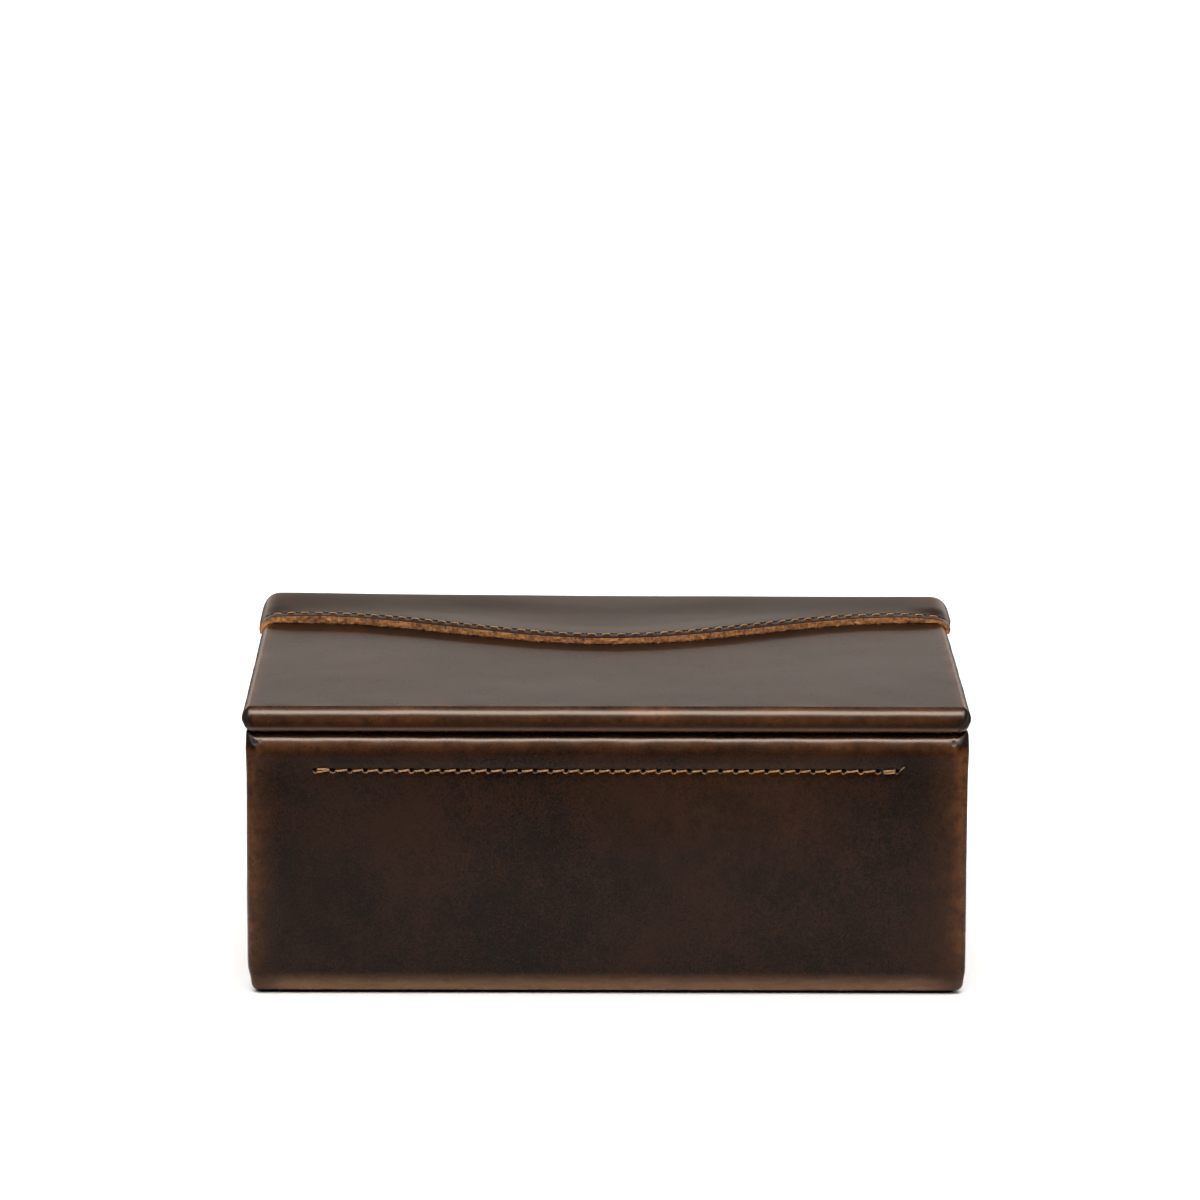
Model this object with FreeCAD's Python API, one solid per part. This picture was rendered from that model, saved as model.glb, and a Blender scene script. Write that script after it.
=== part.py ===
import FreeCAD, Part
import math
import os

os.makedirs("parts", exist_ok=True)

# Lid, measured over its leather cover and without the hinge flap
lid_width = 250.0
lid_depth = 174.3
lid_board_thickness = 5.0
lid_board_edge_radius = 1.4
lid_corner_extra = 1.8
lid_turn_in = 22.0
lid_overhang = 1.1
lid_gap = 1.8
lid_opening = 110.0

# Box, measured over its leather wrap
rim_height = 92.0
board_rim_radius = 1.2
board_bottom_radius = 3.2
box_corner_extra = 1.0
tuck_clearance = 0.3
hem_depth = 20.0
turn_under = 16.0

# Sheet thicknesses
wrap_leather = 1.8
flap_leather = 2.3
lining = 1.2
wall_board = 4.0
base_board_thickness = 4.0
base_cover_thickness = 1.2
base_cover_inset = 3.0
card_clearance = 0.3
lid_lining_clearance = 1.5

# Wavy front edge of the hinge flap, seen from above
flap_reach = 75.8
wave_depth = 36.0
wave_half_length = 108.0
wave_centre = 2.0
wave_points_per_half = 12
wave_overrun = 12.0

# Leather hinge at the back
fold_clearance = 0.6
hinge_side_margin = 0.5
leaf_height = 45.0
leaf_corner_radius = 12.0

# Hand-sewn seams: pitch along the seam, thread and the groove that it lies in
stitch_pitch = 5.25
stitch_gap = 0.95
stitch_slant = 8.0
thread = 0.9
groove_depth = 0.5
groove_clearance = 0.25
front_seam_drop = 12.4
front_seam_end = 23.0
wave_seam_inset = 6.0
wave_seam_end = 7.0
leaf_seam_inset = 6.0

# Lift-out dividers, half-lapped where they cross
divider = 4.0
divider_drop = 17.8
divider_clearance = 0.4
divider_rounding = 1.5
lap_clearance = 0.15
front_bay_depth = 60.0
cross_divider_offset = 25.0

# Places worked out from the sizes above
box_width = lid_width - 2 * lid_overhang
thread_proud = thread - groove_depth
lid_front = -(lid_depth + flap_leather + thread_proud) / 2
lid_rear = lid_front + lid_depth
box_front = lid_front + lid_overhang
box_rear = lid_rear
lid_edge_radius = lid_board_edge_radius + wrap_leather
lid_corner_radius = lid_edge_radius + lid_corner_extra
rim_edge_radius = board_rim_radius + wrap_leather
bottom_edge_radius = board_bottom_radius + wrap_leather
box_corner_radius = bottom_edge_radius + box_corner_extra
board_bottom = base_cover_thickness + wrap_leather
board_top = rim_height - wrap_leather
base_board_top = board_bottom + base_board_thickness
floor_level = base_board_top + lining
hem_bottom = rim_height - hem_depth
board_inset = wrap_leather + wall_board
inner_inset = board_inset + lining
lid_low = rim_height + lid_gap
lid_high = lid_low + 2 * wrap_leather + lid_board_thickness
flap_high = lid_high + flap_leather
hinge_level = rim_height + lid_gap / 2
fold_reach = flap_leather / 2 * math.tan(math.radians(lid_opening / 2)) + fold_clearance
fold_low = hinge_level - fold_reach
fold_high = hinge_level + fold_reach
hinge_width = box_width - 2 * (box_corner_radius + hinge_side_margin)
stitch_length = stitch_pitch - stitch_gap
thread_rounding = thread / 3
quarter_turn = 90.0
touch = 1e-6


def keep(name, shape):
    """Write one piece under its own name."""
    shape.exportStep("parts/" + name + ".step")


def block(x_low, x_high, y_low, y_high, z_low, z_high):
    """Plain block between two opposite corners."""
    corner = FreeCAD.Vector(x_low, y_low, z_low)
    return Part.makeBox(x_high - x_low, y_high - y_low, z_high - z_low, corner)


def edges_at(shape, level):
    """Edges that lie at one height."""
    return [e for e in shape.Edges if all(abs(v.Z - level) < touch for v in e.Vertexes)]


def edges_along(edges, direction):
    """Those of the edges that run along one direction."""
    return [e for e in edges if abs(e.tangentAt(e.FirstParameter).dot(direction)) > 1 - touch]


def rounded_block(width, front, rear, low, high, corner, top_edge=0.0, low_edge=0.0):
    """Block centred on X with rounded upright corners and, where given, rounded top and bottom."""
    shape = block(-width / 2, width / 2, front, rear, low, high)
    shape = shape.makeFillet(corner, edges_along(shape.Edges, FreeCAD.Vector(0, 0, 1)))
    if top_edge:
        shape = shape.makeFillet(top_edge, edges_at(shape, high))
    if low_edge:
        shape = shape.makeFillet(low_edge, edges_at(shape, low))
    return shape


def box_inside(inset, low, high):
    """Block that stands in from the outside of the leather wrap by one distance all round."""
    half = box_width / 2 - inset
    return block(-half, half, box_front + inset, box_rear - inset, low, high)


def lid_inside(inset, low, high):
    """Block that stands in from the outside of the lid's cover by one distance all round."""
    half = lid_width / 2 - inset
    return block(-half, half, lid_front + inset, lid_rear - inset, low, high)


# Wall boards: front and rear run the full width, the sides stand between them
carcass = rounded_block(
    box_width - 2 * wrap_leather,
    box_front + wrap_leather,
    box_rear - wrap_leather,
    board_bottom,
    board_top,
    box_corner_radius - wrap_leather,
    board_rim_radius,
    board_bottom_radius,
)
half_box = box_width / 2
half_board_gap = half_box - board_inset
board_front = box_front + board_inset
board_rear = box_rear - board_inset
front_board = carcass.common(block(-half_box, half_box, box_front, board_front, 0, rim_height))
rear_board = carcass.common(block(-half_box, half_box, board_rear, box_rear, 0, rim_height))
left_board = carcass.common(block(-half_box, -half_board_gap, board_front, board_rear, 0, rim_height))
right_board = carcass.common(block(half_board_gap, half_box, board_front, board_rear, 0, rim_height))
base_board = box_inside(board_inset, board_bottom, base_board_top)
wall_boards = {
    "front_board": front_board,
    "rear_board": rear_board,
    "left_board": left_board,
    "right_board": right_board,
}
for name, board in wall_boards.items():
    keep(name, board)
keep("base_board", base_board)

# Outer wrap: one strip of leather, hemmed over the rim, tucked at the corners, turned under the base
wrap = rounded_block(
    box_width,
    box_front,
    box_rear,
    base_cover_thickness,
    rim_height,
    box_corner_radius,
    rim_edge_radius,
    bottom_edge_radius,
)
tuck_height = lid_low - tuck_clearance
tucks = rounded_block(
    box_width, box_front, box_rear, hem_bottom, tuck_height, box_corner_radius, rim_edge_radius
)
tuck_reach = inner_inset + wrap_leather
across = block(-half_box, half_box, box_front + tuck_reach, box_rear - tuck_reach, 0, tuck_height)
along = block(-half_box + tuck_reach, half_box - tuck_reach, box_front, box_rear, 0, tuck_height)
wrap = wrap.fuse(tucks.cut([across, along]))
wrap = wrap.cut(
    [
        *wall_boards.values(),
        box_inside(board_inset, board_bottom, hem_bottom),
        box_inside(inner_inset, board_bottom, lid_high),
        box_inside(wrap_leather + turn_under, 0, board_bottom),
    ]
)

# Front hem seam: a straight row of stitches a little way below the rim
groove_width = thread + groove_clearance
slant_rise = stitch_length * math.sin(math.radians(stitch_slant))
front_seam_level = rim_height - front_seam_drop
front_seam_length = box_width - 2 * front_seam_end
front_groove_half = (groove_width + slant_rise) / 2
wrap = wrap.cut(
    block(
        -front_seam_length / 2,
        front_seam_length / 2,
        box_front - groove_depth,
        box_front + groove_depth,
        front_seam_level - front_groove_half,
        front_seam_level + front_groove_half,
    )
)
keep("outer_wrap", wrap.removeSplitter())


def stitch():
    """One stitch lying along X with its flat side down and its upper edges rounded."""
    low_corner = FreeCAD.Vector(-stitch_length / 2, -thread / 2, 0)
    bar = Part.makeBox(stitch_length, thread, thread, low_corner)
    return bar.makeFillet(thread_rounding, edges_at(bar, thread))


def straight_seam(length, place, lean, slant):
    """Row of stitches along X, leaned about X to lie on a wall, each slanted by the same angle."""
    count = int(length / stitch_pitch)
    first = -(count - 1) * stitch_pitch / 2
    row = []
    for number in range(count):
        one = stitch()
        one.rotate(FreeCAD.Vector(0, 0, 0), FreeCAD.Vector(0, 0, 1), slant)
        one.rotate(FreeCAD.Vector(0, 0, 0), FreeCAD.Vector(1, 0, 0), lean)
        one.translate(place + FreeCAD.Vector(first + number * stitch_pitch, 0, 0))
        row.append(one)
    return Part.makeCompound(row)


front_place = FreeCAD.Vector(0, box_front + groove_depth, front_seam_level)
keep("front_seam_thread", straight_seam(front_seam_length, front_place, quarter_turn, stitch_slant))

# Underside: a card that levels the turned-under leather, and the dark cover that meets the table
keep(
    "base_filler",
    box_inside(wrap_leather + turn_under + card_clearance, base_cover_thickness, board_bottom),
)
keep(
    "base_cover",
    rounded_block(
        box_width - 2 * base_cover_inset,
        box_front + base_cover_inset,
        box_rear - base_cover_inset,
        0,
        base_cover_thickness,
        box_corner_radius,
    ),
)

# Suede linings: the floor first, then the four walls standing on it up to the hem
inner_half = half_box - inner_inset
inner_front = box_front + inner_inset
inner_rear = box_rear - inner_inset
keep("floor_lining", box_inside(board_inset, base_board_top, floor_level))
wall_linings = {
    "front_lining": (-half_board_gap, half_board_gap, board_front, inner_front),
    "rear_lining": (-half_board_gap, half_board_gap, inner_rear, board_rear),
    "left_lining": (-half_board_gap, -inner_half, inner_front, inner_rear),
    "right_lining": (inner_half, half_board_gap, inner_front, inner_rear),
}
for name, (x_low, x_high, y_low, y_high) in wall_linings.items():
    keep(name, block(x_low, x_high, y_low, y_high, floor_level, hem_bottom))

# Dividers: the long one is slotted from above, the cross one from below
divider_top = rim_height - divider_drop
lap_level = (floor_level + divider_top) / 2
long_low = inner_front + front_bay_depth
cross_low = cross_divider_offset - divider / 2
long_half = inner_half - divider_clearance
long_divider = block(-long_half, long_half, long_low, long_low + divider, floor_level, divider_top)
cross_divider = block(
    cross_low,
    cross_low + divider,
    inner_front + divider_clearance,
    inner_rear - divider_clearance,
    floor_level,
    divider_top,
)
long_divider = long_divider.makeFillet(divider_rounding, edges_at(long_divider, divider_top))
cross_divider = cross_divider.makeFillet(divider_rounding, edges_at(cross_divider, divider_top))
long_slot = block(
    cross_low - lap_clearance,
    cross_low + divider + lap_clearance,
    inner_front,
    inner_rear,
    lap_level,
    rim_height,
)
cross_slot = block(
    -inner_half,
    inner_half,
    long_low - lap_clearance,
    long_low + divider + lap_clearance,
    0,
    lap_level,
)
keep("long_divider", long_divider.cut(long_slot))
keep("cross_divider", cross_divider.cut(cross_slot))

# Lid: a board in a leather cover that is turned in all round underneath
lid_board_low = lid_low + wrap_leather
lid_board_high = lid_board_low + lid_board_thickness
lid_board = rounded_block(
    lid_width - 2 * wrap_leather,
    lid_front + wrap_leather,
    lid_rear - wrap_leather,
    lid_board_low,
    lid_board_high,
    lid_corner_radius - wrap_leather,
    lid_board_edge_radius,
    lid_board_edge_radius,
)
lid_block = rounded_block(
    lid_width,
    lid_front,
    lid_rear,
    lid_low,
    lid_high,
    lid_corner_radius,
    lid_edge_radius,
    lid_edge_radius,
)
keep("lid_board", lid_board)
keep("lid_cover", lid_block.cut([lid_board, lid_inside(lid_turn_in, lid_low, lid_board_low)]))
keep("lid_filler", lid_inside(lid_turn_in + card_clearance, lid_low, lid_board_low))
lid_lining_low = lid_low - lining
keep("lid_lining", box_inside(inner_inset + lid_lining_clearance, lid_lining_low, lid_low))


def wave_place(x, inset):
    """Point at one place across the lid, a distance behind the flap's wavy front edge."""
    across_wave = x - wave_centre
    turn = math.pi * max(-1.0, min(1.0, across_wave / wave_half_length))
    y = lid_rear - flap_reach + wave_depth * (1 - math.cos(turn)) / 2
    slope = math.pi * wave_depth / (2 * wave_half_length) * math.sin(turn)
    run = math.hypot(1.0, slope)
    return FreeCAD.Vector(x - inset * slope / run, y + inset / run, 0)


def wave_curve(inset, reach):
    """Smooth curve that follows the flap's front edge from one side of the lid to the other."""
    steps = 2 * wave_points_per_half
    places = [-reach + 2 * reach * step / steps for step in range(steps + 1)]
    curve = Part.BSplineCurve()
    curve.interpolate([wave_place(x, inset) for x in places])
    return curve.toShape()


def strip_between(near, far, low, high):
    """Upright solid between two curves that run across the lid."""
    left = Part.makeLine(near.Vertexes[0].Point, far.Vertexes[0].Point)
    right = Part.makeLine(near.Vertexes[-1].Point, far.Vertexes[-1].Point)
    face = Part.Face(Part.Wire(Part.__sortEdges__([near, right, far, left])))
    solid = face.extrude(FreeCAD.Vector(0, 0, high - low))
    solid.translate(FreeCAD.Vector(0, 0, low))
    return solid


# Hinge flap on the lid: thick leather with a wavy raw front edge, shaped over the sides and the rear
half_flap = lid_width / 2 + flap_leather
flap_outside = rounded_block(
    lid_width + 2 * flap_leather,
    lid_front - flap_leather,
    lid_rear + flap_leather,
    fold_high,
    flap_high,
    lid_corner_radius + flap_leather,
    lid_edge_radius + flap_leather,
)
lid_outline = rounded_block(
    lid_width, lid_front, lid_rear, lid_low, lid_high, lid_corner_radius, lid_edge_radius
)
cut_reach = half_flap + wave_overrun
far_side = lid_rear + flap_leather + wave_overrun
far_line = Part.makeLine(FreeCAD.Vector(-cut_reach, far_side, 0), FreeCAD.Vector(cut_reach, far_side, 0))
behind_wave = strip_between(wave_curve(0, cut_reach), far_line, lid_low, flap_high + wave_overrun)
flap = flap_outside.cut(lid_outline).common(behind_wave)

# Flap seam: stitches in a groove that follows the wavy edge
seam_reach = lid_width / 2 - wave_seam_end
groove_low = flap_high - groove_depth
groove = strip_between(
    wave_curve(wave_seam_inset - groove_width / 2, seam_reach),
    wave_curve(wave_seam_inset + groove_width / 2, seam_reach),
    groove_low,
    flap_high + groove_depth,
)
keep("lid_flap", flap.cut(groove))
seam_line = wave_curve(wave_seam_inset, seam_reach)
wave_count = int(seam_line.Length / stitch_pitch)
wave_start = (seam_line.Length - (wave_count - 1) * stitch_pitch) / 2
wave_stitches = []
for number in range(wave_count):
    along_seam = seam_line.getParameterByLength(wave_start + number * stitch_pitch)
    heading = seam_line.tangentAt(along_seam)
    one = stitch()
    turn_angle = math.degrees(math.atan2(heading.y, heading.x))
    one.rotate(FreeCAD.Vector(0, 0, 0), FreeCAD.Vector(0, 0, 1), turn_angle)
    one.translate(seam_line.valueAt(along_seam) + FreeCAD.Vector(0, 0, groove_low))
    wave_stitches.append(one)
keep("lid_seam_thread", Part.makeCompound(wave_stitches))

# Leather hinge: the bending fold, and the leaf that is sewn and glued to the back of the box
half_hinge = hinge_width / 2
hinge_back = lid_rear + flap_leather
keep("hinge_fold", block(-half_hinge, half_hinge, lid_rear, hinge_back, fold_low, fold_high))
leaf_low = fold_low - leaf_height
leaf = block(-half_hinge, half_hinge, lid_rear, hinge_back, leaf_low, fold_low)
lower_corners = edges_along(edges_at(leaf, leaf_low), FreeCAD.Vector(0, 1, 0))
leaf = leaf.makeFillet(leaf_corner_radius, lower_corners)
leaf_seam_length = hinge_width - 2 * leaf_corner_radius
leaf_seam_level = leaf_low + leaf_seam_inset
leaf = leaf.cut(
    block(
        -leaf_seam_length / 2,
        leaf_seam_length / 2,
        hinge_back - groove_depth,
        hinge_back + groove_depth,
        leaf_seam_level - front_groove_half,
        leaf_seam_level + front_groove_half,
    )
)
keep("rear_leaf", leaf)
leaf_place = FreeCAD.Vector(0, hinge_back - groove_depth, leaf_seam_level)
keep("leaf_seam_thread", straight_seam(leaf_seam_length, leaf_place, -quarter_turn, stitch_slant))
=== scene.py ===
import math
import bmesh
import bpy
import numpy as np
from mathutils import Matrix, Vector, noise


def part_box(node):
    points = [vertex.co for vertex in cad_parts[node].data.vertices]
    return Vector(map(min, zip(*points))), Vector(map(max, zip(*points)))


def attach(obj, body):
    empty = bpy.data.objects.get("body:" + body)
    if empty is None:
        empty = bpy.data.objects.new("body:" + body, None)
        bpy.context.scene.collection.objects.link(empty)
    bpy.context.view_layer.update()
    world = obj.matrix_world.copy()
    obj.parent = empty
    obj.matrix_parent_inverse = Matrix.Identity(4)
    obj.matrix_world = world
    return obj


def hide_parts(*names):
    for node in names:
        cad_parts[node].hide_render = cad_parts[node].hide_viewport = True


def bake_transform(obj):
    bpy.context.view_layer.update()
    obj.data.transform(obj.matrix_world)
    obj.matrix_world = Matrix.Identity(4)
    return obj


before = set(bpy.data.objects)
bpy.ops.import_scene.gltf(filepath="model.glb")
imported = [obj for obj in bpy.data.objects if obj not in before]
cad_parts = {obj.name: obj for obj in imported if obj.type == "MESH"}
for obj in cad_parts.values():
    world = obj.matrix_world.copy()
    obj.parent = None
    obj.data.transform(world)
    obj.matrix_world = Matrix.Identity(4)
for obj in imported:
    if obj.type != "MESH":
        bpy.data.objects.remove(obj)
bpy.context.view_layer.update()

# Boards and fillers. The walls, base and lid are grey-brown fibreboard, glued at the corners, and thin card
# evens out the steps that the turned-in leather leaves. All of them end up hidden inside the covers.
mm = 0.001
# A mix node's two colour inputs and its colour output, by number.
MIX_A, MIX_B, MIX_OUT = 6, 7, 2


def linear(code):
    """Linear colour of an sRGB hex code."""
    parts = [int(code[start : start + 2], 16) / 255 for start in (0, 2, 4)]
    return [c / 12.92 if c <= 0.04045 else ((c + 0.055) / 1.055) ** 2.4 for c in parts] + [1.0]


def add(tree, kind, inputs, out=0, **settings):
    """Adds a shader node with its settings and gives one output; an input is a value, or a socket to link."""
    made = tree.nodes.new(kind)
    for name, value in settings.items():
        setattr(made, name, value)
    for name, value in inputs.items():
        if isinstance(value, bpy.types.NodeSocket):
            tree.links.new(value, made.inputs[name])
        else:
            made.inputs[name].default_value = value
    return made.outputs[out]


def finish(name, **constants):
    """New material with constant shader values; also gives its tree, its shader and the object's places."""
    made = bpy.data.materials.new(name)
    made.use_nodes = True
    tree = made.node_tree
    shader = tree.nodes["Principled BSDF"]
    for socket, value in constants.items():
        shader.inputs[socket.replace("_", " ")].default_value = value
    return made, tree, shader, add(tree, "ShaderNodeTexCoord", {}, "Object")


def speckled(name, colours, size, spread, detail=2.0, rough=0.5, bump=None, **constants):
    """Material with specks of one size between two colours; bump says how strongly and how far they rise."""
    made, tree, shader, place = finish(name, **constants)
    sockets = {"Vector": place, "Scale": 1 / size, "Detail": detail, "Roughness": rough}
    specks = add(tree, "ShaderNodeTexNoise", sockets)
    share = add(tree, "ShaderNodeMapRange", {"Value": specks, "From Min": spread[0], "From Max": spread[1]})
    sockets = {0: share, MIX_A: linear(colours[0]), MIX_B: linear(colours[1])}
    tint = add(tree, "ShaderNodeMix", sockets, MIX_OUT, data_type="RGBA")
    tree.links.new(tint, shader.inputs["Base Color"])
    if bump:
        raised = add(tree, "ShaderNodeBump", {"Height": specks, "Strength": bump[0], "Distance": bump[1]})
        tree.links.new(raised, shader.inputs["Normal"])
    return made


# Pressed fibreboard: brown wood fibres pressed with resin, matt, with short pale and dark flecks.
fibreboard = speckled(
    "pressed_fibreboard", ("8d6f52", "b1906d"), 1.5 * mm, (0.3, 0.7), 6.0, 0.7, (0.3, 0.1 * mm),
    Roughness=0.85, IOR=1.5,
)
# Grey card: recycled paper pulp rolled flat, matt, with small grey and brown specks.
grey_card = speckled(
    "rolled_grey_card", ("978975", "b9aa94"), 0.9 * mm, (0.35, 0.7), 4.0, 0.6, (0.15, 0.05 * mm),
    Roughness=0.9, IOR=1.5,
)
boards = ("base_board", "front_board", "rear_board", "left_board", "right_board", "lid_board")
cards = ("base_filler", "lid_filler")
for nodes, surface in ((boards, fibreboard), (cards, grey_card)):
    for node in nodes:
        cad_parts[node].data.materials.clear()
        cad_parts[node].data.materials.append(surface)

# Outer wrap. One strip of thick pull-up cowhide, glued round the wall boards while damp, folded over the
# rim into a hem on the inside, pleated at the four corners and turned under the base all round.
# It is soft enough to bulge a little below the rim and to lie in shallow waves on the flat walls.
wrap_low, wrap_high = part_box("outer_wrap")
rim_level = 92.0 * mm
wrap_corner = 3.8 * mm
rim_arcs = ((12.0 * mm, 22), (5.5 * mm, 50), (1.2 * mm, 90))
hem_radius = 1.5 * mm
hem_inset = 7.0 * mm
hem_low = 72.0 * mm
foot_across = 2.6 * mm
foot_drop = 8.0 * mm
foot_level = 1.1 * mm
foot_flat = 5.0 * mm
turned_under = 17.8 * mm
wrap_leather = 1.8 * mm
skived_hem = 1.2 * mm
cut_swell = 0.1 * mm
seam_level = 79.6 * mm
seam_groove = 0.3 * mm
stitch_pitch = 5.3 * mm
first_pitches = (5.85 * mm, 5.85 * mm)
last_pitches = (5.85 * mm, 5.85 * mm, 6.5 * mm)
front_stitches = 37
hole_depth = 1.0 * mm
hole_half_long, hole_half_wide = 1.3 * mm, 0.7 * mm
hole_lean = math.radians(-14)
pleat_depth = 0.25 * mm
tuck_lift, tuck_rim_lift = 1.6 * mm, 0.4 * mm
ring_tight = 0.3 * mm
ring_sides = (((0, -1), (1, 0)), ((1, 0), (0, 1)), ((0, 1), (-1, 0)), ((-1, 0), (0, -1)))


def ring(low, high, inset, corner, sides, turns):
    """Points round a rounded rectangle, one distance inside it, from the left end of its front."""
    centre = max(corner, inset + ring_tight)
    radius = centre - inset
    mid = np.array([(low[0] + high[0]) / 2, (low[1] + high[1]) / 2])
    half = np.array([(high[0] - low[0]) / 2 - centre, (high[1] - low[1]) / 2 - centre])
    turn = turns[:, None] * math.pi / 2
    points = []
    for along, (out, go) in zip(sides, ring_sides):
        out, go = np.array(out), np.array(go)
        middle = mid + out * (half @ np.abs(out))
        run = half @ np.abs(go)
        points.append(middle + out * radius + go * run * along[:, None])
        points.append(middle + go * run + radius * (out * np.cos(turn) + go * np.sin(turn)))
    return np.concatenate(points)


def loft(low, high, profile, corner, sides, turns):
    """Grid of points: one ring for each (inset, height) of a profile."""
    rows = []
    for inset, level in profile:
        flat = ring(low, high, inset, corner, sides, turns)
        rows.append(np.column_stack([flat, np.full(len(flat), level)]))
    return np.stack(rows)


def arc(inset_from, inset_to, level_from, level_to, upward_first, count):
    """Profile points round a quarter turn between two places, moving first in height or first in inset."""
    turn = np.linspace(0, math.pi / 2, count)
    early, late = np.sin(turn), 1 - np.cos(turn)
    inset_share, level_share = (late, early) if upward_first else (early, late)
    insets = inset_from + (inset_to - inset_from) * inset_share
    levels = level_from + (level_to - level_from) * level_share
    return list(zip(insets, levels))


def rolled(arcs, count):
    """Edge rolled over from a wall to its top in arcs, each a radius and the degrees it ends at.
    Gives each point's inset from the wall and its height from the top."""
    places, before = [(0.0, 0.0)], 0.0
    for radius, degrees in arcs:
        inset, rise = places[-1]
        turns = np.linspace(before, math.radians(degrees), count)
        for turn in turns[1:]:
            across = radius * (math.cos(before) - math.cos(turn))
            places.append((inset + across, rise + radius * (math.sin(turn) - math.sin(before))))
        before = turns[-1]
    return [(inset, rise - places[-1][1]) for inset, rise in places]


def outward(grid):
    """Unit normals of a grid of closed rings, pointing out of the solid that the rings go round."""
    along = np.roll(grid, -1, axis=1) - np.roll(grid, 1, axis=1)
    down = np.gradient(grid, axis=0)
    normal = np.cross(down, along)
    length = np.linalg.norm(normal, axis=2, keepdims=True)
    return normal / np.maximum(length, 1e-12)


def wander(points, size, start):
    """Smooth wandering height between -1 and 1 at each point, with swells of about one size."""
    shift = Vector((start, 2.7 * start, -1.3 * start))
    flat = points.reshape(-1, 3) / size
    values = [noise.noise(Vector(p) + shift) for p in flat]
    return np.array(values).reshape(points.shape[:-1])


def ease(low, high, value):
    """Smooth step from 0 at low to 1 at high."""
    share = np.clip((value - low) / (high - low), 0, 1)
    return share * share * (3 - 2 * share)


def bell(value, middle, width):
    """Smooth bump of height 1."""
    return np.exp(-(((value - middle) / width) ** 2))


def ring_faces(rows, columns):
    """Quads between the rows of a grid of closed rings."""
    faces = []
    for row in range(rows - 1):
        here, below = row * columns, (row + 1) * columns
        for column in range(columns):
            after = (column + 1) % columns
            faces.append((here + column, below + column, below + after, here + after))
    return faces


def joined(meshes):
    """Points and faces of several meshes as one."""
    points, faces, count = [], [], 0
    for some_points, some_faces in meshes:
        points.append(some_points)
        faces += [tuple(count + k for k in face) for face in some_faces]
        count += len(some_points)
    return np.concatenate(points), faces


def skin(name, points, faces, finishes, kinds=None, **marks):
    """Smooth mesh object; kinds gives each face's finish. Marks such as wear have a value for each of the
    first points, and are 0 at the rest."""
    mesh = bpy.data.meshes.new(name)
    mesh.from_pydata(points.reshape(-1, 3).tolist(), [], faces)
    for surface in finishes:
        mesh.materials.append(surface)
    if kinds is not None:
        mesh.polygons.foreach_set("material_index", np.array(kinds, dtype=np.int32))
    for mark, values in marks.items():
        every = np.zeros(len(mesh.vertices), dtype=np.float32)
        every[: values.size] = values.ravel()
        mesh.attributes.new(mark, "FLOAT", "POINT").data.foreach_set("value", every)
    welded = bmesh.new()
    welded.from_mesh(mesh)
    bmesh.ops.remove_doubles(welded, verts=welded.verts, dist=1e-7)
    welded.to_mesh(mesh)
    welded.free()
    mesh.shade_smooth()
    piece = bpy.data.objects.new(name, mesh)
    bpy.context.scene.collection.objects.link(piece)
    return piece


def thicken(points, faces, normals, thickness, edge_rows, swell):
    """Closed sheet under a skin of outside points, with a rounded cut edge wherever the skin ends. Gives
    points, faces, each face's kind (0 outside, 1 cut edge, 2 inside), and facts of the cut edge's points."""
    count = len(points)
    inside = points - normals * thickness[:, None]
    edges = {}
    for face in faces:
        for start, end in zip(face, face[1:] + face[:1]):
            edges[start, end] = True
    border = [(start, end) for start, end in edges if (end, start) not in edges]
    away = np.zeros_like(points)
    for start, end in border:
        step = np.cross(points[end] - points[start], normals[start])
        away[start] += step
        away[end] += step
    rim = sorted({start for start, _ in border} | {end for _, end in border})
    away = away[rim] / np.maximum(np.linalg.norm(away[rim], axis=1, keepdims=True), 1e-12)
    levels = np.linspace(0, 1, edge_rows + 2)[1:-1]
    between = points[rim][:, None] + (inside[rim] - points[rim])[:, None] * levels[None, :, None]
    between += away[:, None] * (swell * np.sin(levels * math.pi))[None, :, None]
    chains = {}
    for place, point in enumerate(rim):
        first = 2 * count + place * edge_rows
        chains[point] = [point, *range(first, first + edge_rows), count + point]
    made = list(faces)
    for start, end in border:
        one, two = chains[start], chains[end]
        made += [(two[k], one[k], one[k + 1], two[k + 1]) for k in range(edge_rows + 1)]
    kinds = [0] * len(faces) + [1] * (len(made) - len(faces)) + [2] * len(faces)
    made += [tuple(count + point for point in reversed(face)) for face in faces]
    every = np.concatenate([points, inside, between.reshape(-1, 3)])
    cut = {"first": 2 * count, "away": np.repeat(away, edge_rows, axis=0), "level": np.tile(levels, len(rim))}
    return every, made, kinds, cut


def smooth_line(line, count):
    """Evenly spaced points on a smooth curve through the points of a line, and their distance along it."""
    ends = np.concatenate([[2 * line[0] - line[1]], line, [2 * line[-1] - line[-2]]])
    dense = []
    for k in range(len(line) - 1):
        a, b, c, d = ends[k : k + 4]
        for t in np.linspace(0, 1, 8, endpoint=False):
            bend = (2 * a - 5 * b + 4 * c - d) * t**2 + (3 * b - a - 3 * c + d) * t**3
            dense.append(0.5 * (2 * b + (c - a) * t + bend))
    dense = np.array(dense + [line[-1]])
    run = np.concatenate([[0], np.cumsum(np.linalg.norm(np.diff(dense, axis=0), axis=1))])
    wanted = np.linspace(0, run[-1], count)
    return np.column_stack([np.interp(wanted, run, dense[:, k]) for k in range(3)]), wanted


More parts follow.
